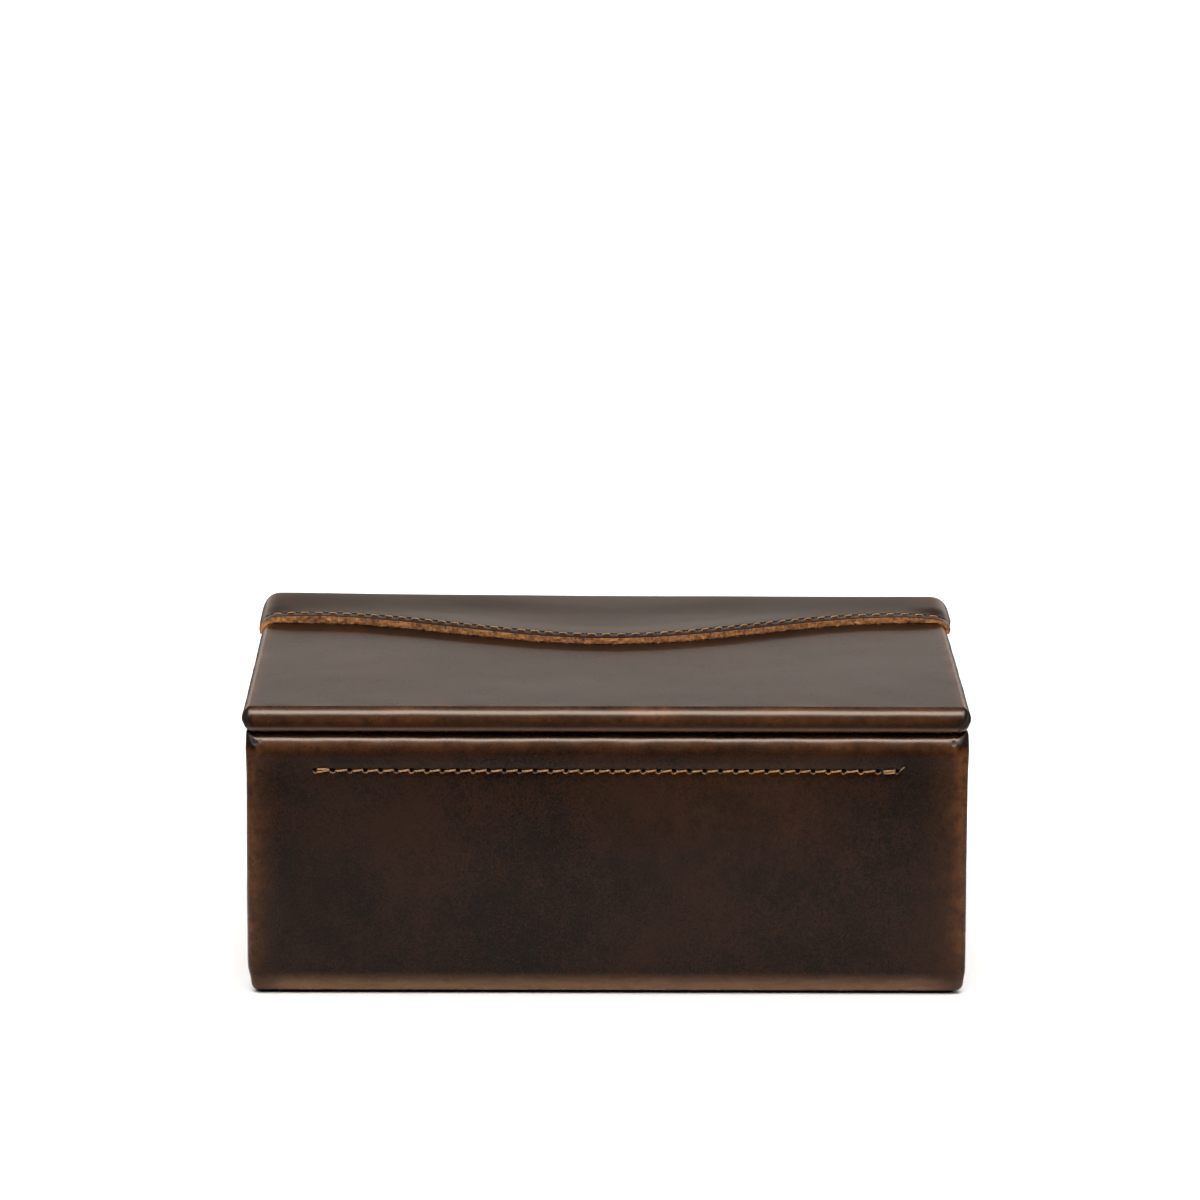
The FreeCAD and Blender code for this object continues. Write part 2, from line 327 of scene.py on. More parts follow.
def tube(line, radii, sides=6):
    """Points and faces of a closed tube along a line."""
    tangent = np.gradient(line, axis=0)
    tangent /= np.linalg.norm(tangent, axis=1, keepdims=True)
    slanted = np.array([0.31, 0.17, 0.93])
    side = np.cross(tangent, slanted)
    side /= np.linalg.norm(side, axis=1, keepdims=True)
    up = np.cross(side, tangent)
    turn = np.arange(sides) * 2 * math.pi / sides
    around = side[:, None] * np.cos(turn)[None, :, None] + up[:, None] * np.sin(turn)[None, :, None]
    points = (line[:, None] + around * radii[:, None, None]).reshape(-1, 3)
    last = range((len(line) - 1) * sides, len(line) * sides)
    return points, [tuple(range(sides)), *ring_faces(len(line), sides), tuple(last)[::-1]]


# Waxed pull-up cowhide: oiled and waxed full-grain leather, dark where it lies flat and rust brown where it
# is bent or rubbed, because the wax moves aside there. It gives a soft broad sheen over a fine grain, which
# is drawn about twice its real 0.3 mm so that it shows at all.
dyed_dark, dyed_light = "110702", "2c1608"
# Rubbed rust; a grey tan for dust and for painted floor light; black for painted shade in holes and creases.
rubbed_rust, dusty_wax, painted_shade_black = "573218", "7d5d47", "030202"
# Each layer's size in millimetres, its detail and its roughness.
hide_layers = {
    "patches": (45, 3, 0.5),
    "mottle": (7, 5, 0.75),
    "pores": (0.6, 2, 0.7),
    "scuffs": (4, 8, 0.72),
}


def pull_up_cowhide(name, gloss_low, gloss_high, shine, evenness):
    """Waxed pull-up cowhide; the less even it is, the more it is mottled. A point's wear mark is 1 where it
    is rubbed and -1 where shade is painted black into a hole, crease or fold, which also dulls the sheen; its
    dust mark is 1 where the wax has gone grey near the table and where light from the floor is painted on."""
    made, tree, shader, place = finish(name, IOR=1.42, Specular_IOR_Level=shine)
    layer = {}
    for kind, (size, detail, rough) in hide_layers.items():
        sockets = {"Vector": place, "Scale": 1 / (size * mm), "Detail": detail, "Roughness": rough}
        layer[kind] = add(tree, "ShaderNodeTexNoise", sockets)
    broad = add(tree, "ShaderNodeMix", {0: 0.45, 2: layer["patches"], 3: layer["mottle"]}, data_type="FLOAT")
    both = add(tree, "ShaderNodeMix", {0: 0.5, 2: broad, 3: layer["pores"]}, data_type="FLOAT")
    sockets = {"Value": both, "From Min": 0.5 - evenness, "From Max": 0.5 + evenness}
    share = add(tree, "ShaderNodeMapRange", sockets)
    wear = add(tree, "ShaderNodeAttribute", {}, "Fac", attribute_name="wear")
    dust = add(tree, "ShaderNodeAttribute", {}, "Fac", attribute_name="dust")
    sockets = {"Value": layer["scuffs"], "From Min": 0.36, "From Max": 0.64, "To Min": 0.35, "To Max": 1.25}
    broken = add(tree, "ShaderNodeMapRange", sockets)
    worn = add(tree, "ShaderNodeMath", {0: wear, 1: broken}, operation="MULTIPLY", use_clamp=True)
    long_way = add(tree, "ShaderNodeMapping", {"Vector": place, "Scale": (0.2, 0.2, 1.0)})
    sockets = {"Vector": long_way, "Scale": 1 / (2.2 * mm), "Detail": 4.0, "Roughness": 0.6}
    streaks = add(tree, "ShaderNodeTexNoise", sockets)
    sockets = {"Value": streaks, "From Min": 0.3, "From Max": 0.7, "To Min": 0.72, "To Max": 1.12}
    streaked = add(tree, "ShaderNodeMapRange", sockets)
    # The dust mark greys the wax, and also paints on light from the white floor as the same grey tan.
    dusted = add(tree, "ShaderNodeMath", {0: dust, 1: streaked}, operation="MULTIPLY", use_clamp=True)
    # Below 0 the wear mark paints shade: black in holes, creases and folds, with a duller sheen there.
    painted_shade_and_dull = add(tree, "ShaderNodeMath", {0: wear, 1: -0.95}, operation="MULTIPLY", use_clamp=True)
    colour = linear(dyed_dark)
    coats = ((share, dyed_light), (worn, rubbed_rust), (dusted, dusty_wax), (painted_shade_and_dull, painted_shade_black))
    for amount, over in coats:
        sockets = {0: amount, MIX_A: colour, MIX_B: linear(over)}
        colour = add(tree, "ShaderNodeMix", sockets, MIX_OUT, data_type="RGBA")
    tree.links.new(colour, shader.inputs["Base Color"])
    sockets = {"Value": layer["mottle"], "From Min": 0.3, "From Max": 0.7}
    sockets |= {"To Min": gloss_high, "To Max": gloss_low}
    gloss = add(tree, "ShaderNodeMapRange", sockets)
    dulled = add(tree, "ShaderNodeMix", {0: painted_shade_and_dull, 2: gloss, 3: 0.85}, data_type="FLOAT")
    tree.links.new(dulled, shader.inputs["Roughness"])
    sockets = {"Vector": place, "Scale": 1 / (0.7 * mm)}
    pebbles = add(tree, "ShaderNodeTexVoronoi", sockets, feature="SMOOTH_F1")
    grain = add(tree, "ShaderNodeMath", {0: pebbles, 1: layer["pores"]}, operation="ADD")
    fine = add(tree, "ShaderNodeBump", {"Height": grain, "Strength": 0.008, "Distance": 0.05 * mm})
    drape = add(tree, "ShaderNodeTexNoise", {"Vector": place, "Scale": 1 / (11 * mm), "Detail": 1.0})
    sockets = {"Height": drape, "Strength": 0.1, "Distance": 0.1 * mm, "Normal": fine}
    tree.links.new(add(tree, "ShaderNodeBump", sockets), shader.inputs["Normal"])
    return made


cowhide = pull_up_cowhide("waxed_pull_up_cowhide", 0.25, 0.29, 0.15, 0.05)
# Cut edge of cowhide: the undyed middle of the hide, sliced and left bare, so it is rust brown, matt and
# fibrous, with pale flecks where loose fibres stand up, and palest at its foot.
raw_edge, tree, shader, place = finish("cut_cowhide_edge", Roughness=0.85, IOR=1.4, Specular_IOR_Level=0.2)
upright_grain = add(tree, "ShaderNodeMapping", {"Vector": place, "Scale": (1.0, 1.0, 0.3)})
sockets = {"Vector": upright_grain, "Scale": 1 / (0.9 * mm), "Detail": 6.0, "Roughness": 0.75}
strands = add(tree, "ShaderNodeTexNoise", sockets)
sockets = {"Vector": place, "Scale": 1 / (6 * mm), "Detail": 3.0, "Roughness": 0.6}
bundles = add(tree, "ShaderNodeTexNoise", sockets)
mixed = add(tree, "ShaderNodeMix", {0: 0.35, 2: strands, 3: bundles}, data_type="FLOAT")
foot = add(tree, "ShaderNodeAttribute", {}, "Fac", attribute_name="wear")
paler = add(tree, "ShaderNodeMath", {0: foot, 1: 0.22, 2: mixed}, operation="MULTIPLY_ADD")
share = add(tree, "ShaderNodeMapRange", {"Value": paler, "From Min": 0.42, "From Max": 0.7})
sockets = {0: share, MIX_A: linear("44210e"), MIX_B: linear("dc9556")}
tint = add(tree, "ShaderNodeMix", sockets, MIX_OUT, data_type="RGBA")
tree.links.new(tint, shader.inputs["Base Color"])
frayed = add(tree, "ShaderNodeBump", {"Height": strands, "Strength": 0.7, "Distance": 0.35 * mm})
tree.links.new(frayed, shader.inputs["Normal"])
# Flesh side of cowhide: the sueded inner face of the hide, matt brown with a short soft nap.
flesh_side = speckled(
    "sueded_flesh_side", ("5a3a24", "7d5638"), 2.5 * mm, (0.3, 0.7), 6.0, 0.7,
    Roughness=0.9, IOR=1.4, Specular_IOR_Level=0.2,
)

# Columns of points crowd round each stitch hole and each corner of the front, and rows round the seam.
even_pitches = front_stitches - len(first_pitches) - len(last_pitches)
front_pitches = np.array([*first_pitches, *[stitch_pitch] * even_pitches, *last_pitches])
front_holes = np.concatenate([[0], np.cumsum(front_pitches)]) - front_pitches.sum() / 2
near_hole = np.array([0.3, 0.6, 0.85, 1.1, 1.35, 1.6])
by_hole = np.concatenate([-near_hole[::-1], [0.0], near_hole, [2.3, 3.1]]) * mm
straight_front = wrap_high.x - wrap_corner
by_corner = np.array([4.0, 3.5, 3.1, 2.7, 2.3, 1.9, 1.6, 1.3, 1.0, 0.7, 0.4, 0.0]) * mm
approach = np.linspace(front_holes[-1] + 2 * mm, straight_front - 4.6 * mm, 9)
end_columns = np.concatenate([approach, straight_front - by_corner])
seam_columns = (front_holes[:, None] + by_hole).ravel()
seam_columns = seam_columns[seam_columns < end_columns[0]]
front_columns = np.concatenate([-end_columns[::-1], seam_columns, end_columns])
wrap_sides = (front_columns / straight_front, *(np.linspace(-1, 1, count) for count in (80, 100, 80)))
corner_turns = np.linspace(0, 1, 14)[1:-1]
seam_rows = np.array([2.6, 2.2, 1.8, 1.45, 1.2, 1.0, 0.84, 0.68, 0.52, 0.36, 0.2, 0.04])
seam_rows = np.concatenate([seam_rows, -seam_rows[::-1]]) * mm + seam_level
rim_roll = rolled(rim_arcs, 9)
rim_across, rim_drop = rim_roll[-1][0], -rim_roll[0][1]
upper_rows = np.linspace(rim_level - rim_drop, seam_rows[0], 6)[1:-1]
lower_rows = np.linspace(seam_rows[-1], foot_level + foot_drop, 42)[1:-1]
wrap_profile = [(hem_inset, level) for level in np.linspace(hem_low, rim_level - hem_radius, 9)[:-1]]
wrap_profile += arc(hem_inset, hem_inset - hem_radius, rim_level - hem_radius, rim_level, True, 8)
wrap_profile += [(inset, rim_level) for inset in np.linspace(hem_inset - hem_radius, rim_across, 5)[1:-1]]
wrap_profile += [(inset, rim_level + drop) for inset, drop in reversed(rim_roll)]
wrap_profile += [(0.0, level) for level in np.concatenate([upper_rows, seam_rows, lower_rows])]
wrap_profile += arc(0, foot_across, foot_level + foot_drop, foot_level, True, 16)
wrap_profile += [(foot_across + 1.5 * mm, foot_level), (foot_across + foot_flat, wrap_low.z)]
wrap_profile += [(inset, wrap_low.z) for inset in np.linspace(foot_across + foot_flat, turned_under, 4)[1:]]
wrap_grid = loft(wrap_low, wrap_high, wrap_profile, wrap_corner, wrap_sides, corner_turns)
wrap_normal = outward(wrap_grid)
rows, columns = wrap_grid.shape[:2]
x, y, z = np.moveaxis(wrap_grid, 2, 0)
insets = np.array([inset for inset, _ in wrap_profile])[:, None]
outside = np.where(z > rim_level / 2, 1 - ease(rim_across, hem_inset - 0.5 * mm, insets), 1.0)
faces_front = wrap_normal[..., 1] < -0.9
from_side = wrap_high.x - np.abs(x)
from_end = np.minimum(y - wrap_low.y, wrap_high.y - y)
from_corner = np.maximum(from_side, from_end)
# The glued walls lie in shallow waves, and the leather bulges below the rim and is uneven along it.
wall = ease(wrap_low.z, wrap_low.z + 8 * mm, z) * outside
height = wall * (0.26 * mm * wander(wrap_grid, 62 * mm, 3.1) + 0.06 * mm * wander(wrap_grid, 15 * mm, 8.4))
height += outside * 0.25 * mm * bell(z, 86.0 * mm, 5 * mm)
height += outside * 0.15 * mm * bell(z, 91 * mm, 3 * mm) * wander(wrap_grid, 11 * mm, 5.5)
# The thread pulls a groove into the front, and each stitch has a slanted awl hole.
on_front = faces_front & (np.abs(x) < end_columns[1])
across = z - seam_level
in_row = ease(end_columns[0], front_holes[-1], np.abs(x))
height -= on_front * seam_groove * bell(across, 0, 1.5 * mm) * in_row
along = x - front_holes[np.abs(x[..., None] - front_holes).argmin(axis=-1)]
hole_long = (along * math.cos(hole_lean) + across * math.sin(hole_lean)) / hole_half_long
hole_wide = (across * math.cos(hole_lean) - along * math.sin(hole_lean)) / hole_half_wide
front_pits = on_front * (1 - ease(0.65, 1.1, np.hypot(hole_long, hole_wide)))
# The spare leather at the two front corners is pinched into dimples just under the rim.
left_pleat = bell(from_side, 3.4 * mm, 0.65 * mm) * bell(z, 89.0 * mm, 0.9 * mm)
left_pleat += 0.4 * bell(from_side, 5.2 * mm, 0.5 * mm) * bell(z, 89.7 * mm, 0.7 * mm)
right_pleat = bell(from_side, 4.7 * mm, 0.85 * mm) * bell(z, 89.4 * mm, 1.0 * mm)
pleat = np.where(x < 0, left_pleat, right_pleat) * (from_end < 2.5 * mm) * outside
height -= hole_depth * front_pits + pleat_depth * pleat
height += 0.55 * mm * outside * ease(0.7, 0.95, wrap_normal[..., 0]) * ease(1 * mm, 8 * mm, z)
# At each corner the tucked leather stands up past the rim, and the foot bulges sideways.
tuck = outside * (1 - ease(1.4 * mm, 4.0 * mm, from_side)) * (1 - ease(9 * mm, 16 * mm, from_end))
tuck *= ease(82 * mm, 90 * mm, z)
wrap_points = wrap_grid + wrap_normal * height[..., None]
at_rim = 1 - ease(rim_across, rim_across + 1 * mm, insets)
wrap_points[..., 2] += (tuck_lift + tuck_rim_lift * at_rim) * tuck
wrap_points[..., 0] += np.sign(x) * 0.85 * np.minimum(insets, rim_across) * tuck
foot_corner = (1 - ease(3 * mm, 12 * mm, from_corner)) * (z < rim_level / 2)
left_foot, right_foot = 0.6 * mm * bell(z, 5.5 * mm, 3 * mm), 0.8 * mm * bell(z, 2.2 * mm, 2 * mm)
wrap_points[..., 0] += foot_corner * np.where(x < 0, left_foot, right_foot)
# Wear: rubbed along the rim and the upright corners, a rusty cloud and a darker patch on the front;
# shade is painted black into the holes, the pleats and the tucks at the rim's ends.
scuffed = 0.75 * bell(z, 89.2 * mm, 2.6 * mm)
corner_rub = 0.55 * bell(from_corner, 1.0 * mm, 3.4 * mm) + 0.3 * bell(from_corner, 1.0 * mm, 8.5 * mm)
scuffed += corner_rub * ease(2 * mm, 16 * mm, z) * np.where(x > 0, 1.2, 0.85)
scuffed *= 0.85 + 0.6 * wander(wrap_grid, 17 * mm, 12.5)
# Painted shade, with a duller sheen, on the tucks beside the rim's ends.
tuck_shade = outside * (1 - ease(2.6 * mm, 4.4 * mm, from_side)) * ease(84 * mm, 89 * mm, z)
tuck_shade *= from_end < 3 * mm
wrap_wear = np.clip(scuffed, 0, 1.3) * outside * (1 - pleat) * (1 - tuck_shade)
# Painted shade: black in the pleats and the stitch holes, and darker on the tucks.
wrap_wear -= 0.9 * pleat + 1.4 * front_pits + 0.55 * tuck_shade
clouded = 0.15 * ease(-10 * mm, 45 * mm, x) * (1 - ease(58 * mm, 88 * mm, x)) * ease(35 * mm, 65 * mm, z)
left_dark = (1 - ease(-85 * mm, -45 * mm, x)) * ease(-118 * mm, -105 * mm, x) * ease(8 * mm, 20 * mm, z)
clouded -= 0.13 * left_dark
wrap_wear += clouded * (1 - ease(80 * mm, 87 * mm, z)) * (1 - front_pits) * faces_front
# Dust low on the walls, less at the corners, which also paints on the light that the white floor throws up.
wrap_dust = (1 - ease(1.5 * mm, 8.7 * mm, z)) * (0.3 + 0.7 * ease(3 * mm, 16 * mm, from_corner))
skived = wrap_leather + (skived_hem - wrap_leather) * (1 - outside)
thickness = np.where(z > rim_level / 2, skived, wrap_leather)
wrap_faces = ring_faces(rows, columns)
points, faces, kinds, _ = thicken(
    wrap_points.reshape(-1, 3), wrap_faces, wrap_normal.reshape(-1, 3), thickness.ravel(), 2, cut_swell
)


def from_hole(hole, steps):
    """Line of points near a hole in the front, from steps in millimetres to the right, up and out."""
    right, up, out = np.array(steps).T * mm
    return hole + np.column_stack([right, -out, up])


# The awl turns up a thin pale lip of raw leather under each hole.
lip_steps = (
    (-1.0, -0.2, -0.5), (-0.85, -0.55, 0.05), (-0.1, -0.98, 0.16), (0.65, -0.6, 0.1), (0.95, -0.2, -0.5),
)
lip_radius = np.full(14, 0.17 * mm)
lips = []
for hole_x in front_holes:
    lip_line = from_hole(np.array([hole_x, wrap_low.y + 0.2 * mm, seam_level]), lip_steps)
    lips.append(tube(smooth_line(lip_line, len(lip_radius))[0], lip_radius))
points, faces = joined([(points, faces), *lips])
kinds += [1] * (len(faces) - len(kinds))
wrap_finishes = [cowhide, raw_edge, flesh_side]
wrap = skin("leather_wrap", points, faces, wrap_finishes, kinds, wear=wrap_wear, dust=wrap_dust)
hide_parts("outer_wrap")
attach(wrap, "box")

# Front hem seam. A row of thick waxed linen thread that holds the hem, sewn by hand with slanted stitches;
# each comes up at the foot of one hole and goes down at the head of the next. Both ends are sewn twice.
thread_radius = 0.19 * mm
strand_offset = 0.18 * mm
strand_lay = 1.9 * mm
stitch_steps = np.array([0.95, 1.15, 1.45, 2.1, 3.1, 3.8, 4.1, 4.35]) * mm / stitch_pitch
stitch_sways = np.array([-0.15, -0.2, -0.17, -0.07, 0.07, 0.17, 0.18, 0.12]) * mm
stitch_rises = np.array([-0.9, -0.1, 0.2, 0.3, 0.31, 0.2, -0.1, -0.9]) * mm


def stitch_line(start, end, across, out):
    """Middle line of one stitch: up out of one hole, over the leather and down into the next hole."""
    spots = start + (end - start) * stitch_steps[:, None]
    return spots + across * stitch_sways[:, None] + out * stitch_rises[:, None]


def twist(lines, outs, sizes):
    """Points and faces of three-strand twisted thread along each of several lines, each with its own size."""
    strands = []
    for line, out, size in zip(lines, outs, sizes):
        path, run = smooth_line(line, 18)
        tangent = np.gradient(path, axis=0)
        tangent /= np.linalg.norm(tangent, axis=1, keepdims=True)
        side = np.cross(tangent, out)
        side /= np.linalg.norm(side, axis=1, keepdims=True)
        up = np.cross(side, tangent)
        for strand in range(3):
            turn = 2 * math.pi * (run / strand_lay + strand / 3)
            offset = side * np.cos(turn)[:, None] + up * np.sin(turn)[:, None]
            radii = np.full(len(path), size * thread_radius)
            strands.append(tube(path + size * strand_offset * offset, radii))
    return joined(strands)


# Waxed linen thread: spun flax, dyed tan and drawn through wax, so it is slightly glossy with fine hairs,
# and darker where dye and dirt sit between the strands.
linen = speckled(
    "waxed_linen_thread", ("7a5230", "b58a57"), 0.8 * mm, (0.3, 0.7), 4.0, 0.6, (0.4, 0.08 * mm),
    Roughness=0.6, IOR=1.45, Specular_IOR_Level=0.3,
)


def sew(name, node, body, lines, outs, sizes):
    """One seam's thread in the place of a CAD node."""
    points, faces = twist(lines, outs, sizes)
    thread = skin(name, points, faces, [linen])
    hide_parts(node)
    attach(thread, body)


front_out = np.array([0.0, -1.0, 0.0])
upright = np.array([0.0, 0.0, 1.0])
hole_points = np.array([(hole_x, wrap_low.y + 0.1 * mm, seam_level) for hole_x in front_holes])
front_lines = [stitch_line(a, b, upright, front_out) for a, b in zip(hole_points[1:-2], hole_points[2:-1])]
# Doubled stitches at both ends and a loose thread end on the right, in steps from the first and last hole.
left_tack = (
    ((0.6, 0.35, -0.8), (0.9, 0.4, 0.1), (1.7, 0.5, 0.36), (2.8, 0.6, 0.42), (3.7, 0.5, 0.32),
     (4.2, 0.35, 0.0), (4.5, 0.2, -0.8)),
    ((0.3, -0.35, -0.8), (0.6, -0.5, 0.05), (1.5, -0.42, 0.34), (2.7, -0.15, 0.38), (3.7, 0.0, 0.28),
     (4.2, 0.05, 0.0), (4.5, 0.1, -0.8)),
)
right_tack = (
    ((-4.5, -0.5, -0.8), (-4.2, -0.6, 0.05), (-3.2, -0.62, 0.32), (-2.0, -0.5, 0.36), (-1.1, -0.4, 0.25),
     (-0.7, -0.3, -0.8)),
    ((-4.6, 0.0, -0.8), (-4.2, 0.05, 0.1), (-3.2, 0.2, 0.36), (-2.0, 0.36, 0.4), (-1.1, 0.38, 0.25),
     (-0.7, 0.3, -0.8)),
    ((0.7, -0.2, -0.6), (1.1, 0.1, 0.15), (1.4, 0.6, 0.2), (1.9, 1.1, 0.22), (2.6, 1.6, 0.22)),
)
front_lines += [from_hole(hole_points[0], steps) for steps in left_tack]
front_lines += [from_hole(hole_points[-1], steps) for steps in right_tack]
loose_end_size = 0.4
front_sizes = [1.0] * (len(front_lines) - 1) + [loose_end_size]
sew("front_hem_thread", "front_seam_thread", "box", front_lines, [front_out] * len(front_lines), front_sizes)

# Base cover. A sheet of black felt glued under the base inside the turned-under leather, so that the box
# slides without scratching. Its cut edge is soft and slightly rounded.
panel_ways = {
    "up": ((1, 0, 0), (0, 1, 0)),
    "down": ((1, 0, 0), (0, -1, 0)),
    "front": ((1, 0, 0), (0, 0, 1)),
    "rear": ((-1, 0, 0), (0, 0, 1)),
    "right": ((0, 1, 0), (0, 0, 1)),
    "left": ((0, -1, 0), (0, 0, 1)),
}
foot_inset = 0.6 * mm
panel_swell_size = 22 * mm


def closing_row(grid):
    """Grid of rings with one more row, drawn in to one line along the middle of the piece."""
    row = grid[-1].copy()
    long_way = 0 if np.ptp(row[:, 0]) > np.ptp(row[:, 1]) else 1
    short_way = 1 - long_way
    middle = (row[:, short_way].min() + row[:, short_way].max()) / 2
    reach = np.ptp(row[:, long_way]) / 2 - ring_tight
    centre = (row[:, long_way].min() + row[:, long_way].max()) / 2
    row[:, short_way] = middle
    row[:, long_way] = np.clip(row[:, long_way], centre - reach, centre + reach)
    return np.concatenate([grid, row[None]])


def closed_faces(grid):
    """Faces of a grid of rings that starts at the foot of a piece, with a face under its foot."""
    rows, columns = grid.shape[:2]
    return [face[::-1] for face in ring_faces(rows, columns)] + [tuple(range(columns))[::-1]]


def panel(name, node, way, surface, corner, rounding, puff, spacing):
    """Flat glued panel in the place of a CAD node, with rounded edges and a slightly uneven face."""
    across, along = (np.array(v, float) for v in panel_ways[way])
    turn = np.column_stack([across, along, np.cross(across, along)])
    ends = np.array([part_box(node)[0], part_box(node)[1]]) @ turn
    low, high = ends.min(axis=0), ends.max(axis=0)
    width, length = high[:2] - low[:2]
    short = min(width, length) / 2
    steps = [np.linspace(-1, 1, max(3, int(size / spacing))) for size in (width, length)]
    profile = [(foot_inset, low[2]), (0.0, low[2])]
    profile += arc(0, rounding, high[2] - rounding, high[2], True, 5)
    edge_rows = len(profile)
    insets = np.linspace(rounding, short - ring_tight, max(4, int(short / spacing)))
    profile += [(inset, high[2]) for inset in insets[1:]]
    grid = closing_row(loft(low, high, profile, corner, steps * 2, np.linspace(0, 1, 8)[1:-1]))
    grid[edge_rows:, :, 2] += puff * wander(grid[edge_rows:], panel_swell_size, 1.7 + len(name))
    piece = skin(name, grid.reshape(-1, 3) @ turn.T, closed_faces(grid), [surface])
    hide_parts(node)
    return piece


# Black felt: pressed wool, no weave, deep black with short grey hairs that take the shine off it.
felt = speckled(
    "pressed_black_felt", ("070707", "1c1b1a"), 0.8 * mm, (0.35, 0.75), 6.0, 0.75, (0.6, 0.2 * mm),
    Roughness=0.95, IOR=1.4, Specular_IOR_Level=0.15,
)
foot_felt = panel("base_felt", "base_cover", "down", felt, 3.0 * mm, 0.3 * mm, 0.05 * mm, 8 * mm)
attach(foot_felt, "box")

# Linings. Tan split suede glued to the floor first and then to the four walls, up to the edge of the hem.
# Each piece is cut a little full, so its face is not quite flat and its edges are soft.
suede_rounding = 0.5 * mm
suede_spacing = 4 * mm


def split_suede(name, dark, light):
    """Brushed split suede: no grain, and a short nap that looks lighter or darker as it was brushed."""
    made, tree, shader, place = finish(
        name, Roughness=0.92, IOR=1.4, Specular_IOR_Level=0.15, Sheen_Weight=0.35, Sheen_Roughness=0.5
    )
    sockets = {"Vector": place, "Scale": 1 / (26 * mm), "Detail": 4.0, "Roughness": 0.6}
    brushed = add(tree, "ShaderNodeTexNoise", sockets)
    sockets = {"Vector": place, "Scale": 1 / (0.9 * mm), "Detail": 5.0, "Roughness": 0.7}
    nap = add(tree, "ShaderNodeTexNoise", sockets)
    both = add(tree, "ShaderNodeMix", {0: 0.45, 2: brushed, 3: nap}, data_type="FLOAT")
    share = add(tree, "ShaderNodeMapRange", {"Value": both, "From Min": 0.36, "From Max": 0.64})
    sockets = {0: share, MIX_A: linear(dark), MIX_B: linear(light)}
    tint = add(tree, "ShaderNodeMix", sockets, MIX_OUT, data_type="RGBA")
    tree.links.new(tint, shader.inputs["Base Color"])
    hairs = add(tree, "ShaderNodeBump", {"Height": nap, "Strength": 0.5, "Distance": 0.15 * mm})
    tree.links.new(hairs, shader.inputs["Normal"])
    return made


suede = split_suede("brushed_split_suede", "7d5d40", "9a7753")
lining_ways = (
    ("floor_lining", "up"),
    ("front_lining", "rear"),
    ("rear_lining", "front"),
    ("left_lining", "right"),
    ("right_lining", "left"),
)
for node, way in lining_ways:
    lining = panel("suede_" + node, node, way, suede, 0.5 * mm, suede_rounding, 0.12 * mm, suede_spacing)
    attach(lining, "box")

# Dividers. Two stiff cards covered in the same suede, rounded along the top and slotted half way into each
# other where they cross; they only stand on the floor lining and lift out.
divider_suede = split_suede("brushed_divider_suede", "77583c", "94714e")
divider_rounding = 1.5 * mm
divider_corner = 1.2 * mm
divider_spacing = 3 * mm
divider_foot = 0.4 * mm
divider_bow, divider_bow_size = 0.1 * mm, 30 * mm
lap_gap = 0.15 * mm


def divider(low, high):
    """Points and faces of one covered card that stands on the floor, rounded along its top."""
    width, length = high[0] - low[0], high[1] - low[1]
    steps = [np.linspace(-1, 1, max(3, int(size / divider_spacing))) for size in (width, length)]
    profile = [(foot_inset, low[2]), (0.0, low[2] + divider_foot)]
    profile += [(0.0, level) for level in np.linspace(low[2], high[2] - divider_rounding, 24)[1:-1]]
    profile += arc(0, divider_rounding, high[2] - divider_rounding, high[2], True, 7)
    grid = loft(low, high, profile, divider_corner, steps * 2, np.linspace(0, 1, 6)[1:-1])
    bow = divider_bow * wander(grid, divider_bow_size, 4.4) * ease(low[2], low[2] + 6 * mm, grid[..., 2])
    grid = closing_row(grid - outward(grid) * bow[..., None])
    return grid.reshape(-1, 3), closed_faces(grid)


cross_low, cross_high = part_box("cross_divider")
long_low, long_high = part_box("long_divider")
points, faces = divider(cross_low, cross_high)
cross_divider = skin("cross_divider_cover", points, faces, [divider_suede])
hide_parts("cross_divider")
left_half = divider(long_low, (cross_low.x - lap_gap, long_high.y, long_high.z))
right_half = divider((cross_high.x + lap_gap, long_low.y, long_low.z), long_high)
points, faces = joined([left_half, right_half])
long_divider = skin("long_divider_cover", points, faces, [divider_suede])
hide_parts("long_divider")
for piece in (cross_divider, long_divider):
    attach(piece, "box")

# Lid cover. The same cowhide, pulled tight over a fibreboard lid and turned in underneath all round, with
# the spare leather pinched into a small fold at each corner. The top is flat, with shallow long swells.
lid_low, lid_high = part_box("lid_cover")
lid_corner = 3.2 * mm
lid_roll = rolled(((9.0 * mm, 20), (6.0 * mm, 52), (1.1 * mm, 90)), 10)
lid_edge_across, lid_edge_drop = lid_roll[-1][0], -lid_roll[0][1]
lid_foot_radius = 2.0 * mm
lid_turn_in = 22.0 * mm
lid_droop = 0.6 * mm
pinch_depth, mitre_depth = 0.45 * mm, 0.35 * mm
lid_half_depth = (lid_high.y - lid_low.y) / 2
lid_straight = lid_high.x - lid_corner
# The wavy front edge of the flap that will lie on the lid, beside which a shadow is painted on the lid.
flap_low, flap_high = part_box("lid_flap")
flap_tip = flap_low.y + 3.0 * mm
wave_depths = (34.5 * mm, 36.5 * mm)
wave_halves = (113.0 * mm, 108.0 * mm)
wave_centre = 2.0 * mm


def lean(back):
    """How much lower the closed lid lies at each place from its hinge to its front edge."""
    return lid_droop * (lid_high.y - back) / (lid_high.y - lid_low.y)


def wave(across):
    """How far back the flap's front edge lies at each place across the lid, and its slope there."""
    half = np.where(across < wave_centre, *wave_halves)
    depth = np.where(across < wave_centre, *wave_depths)
    turn = np.clip((across - wave_centre) / half, -1, 1) * math.pi
    return flap_tip + depth * (1 - np.cos(turn)) / 2, depth * math.pi / (2 * half) * np.sin(turn)


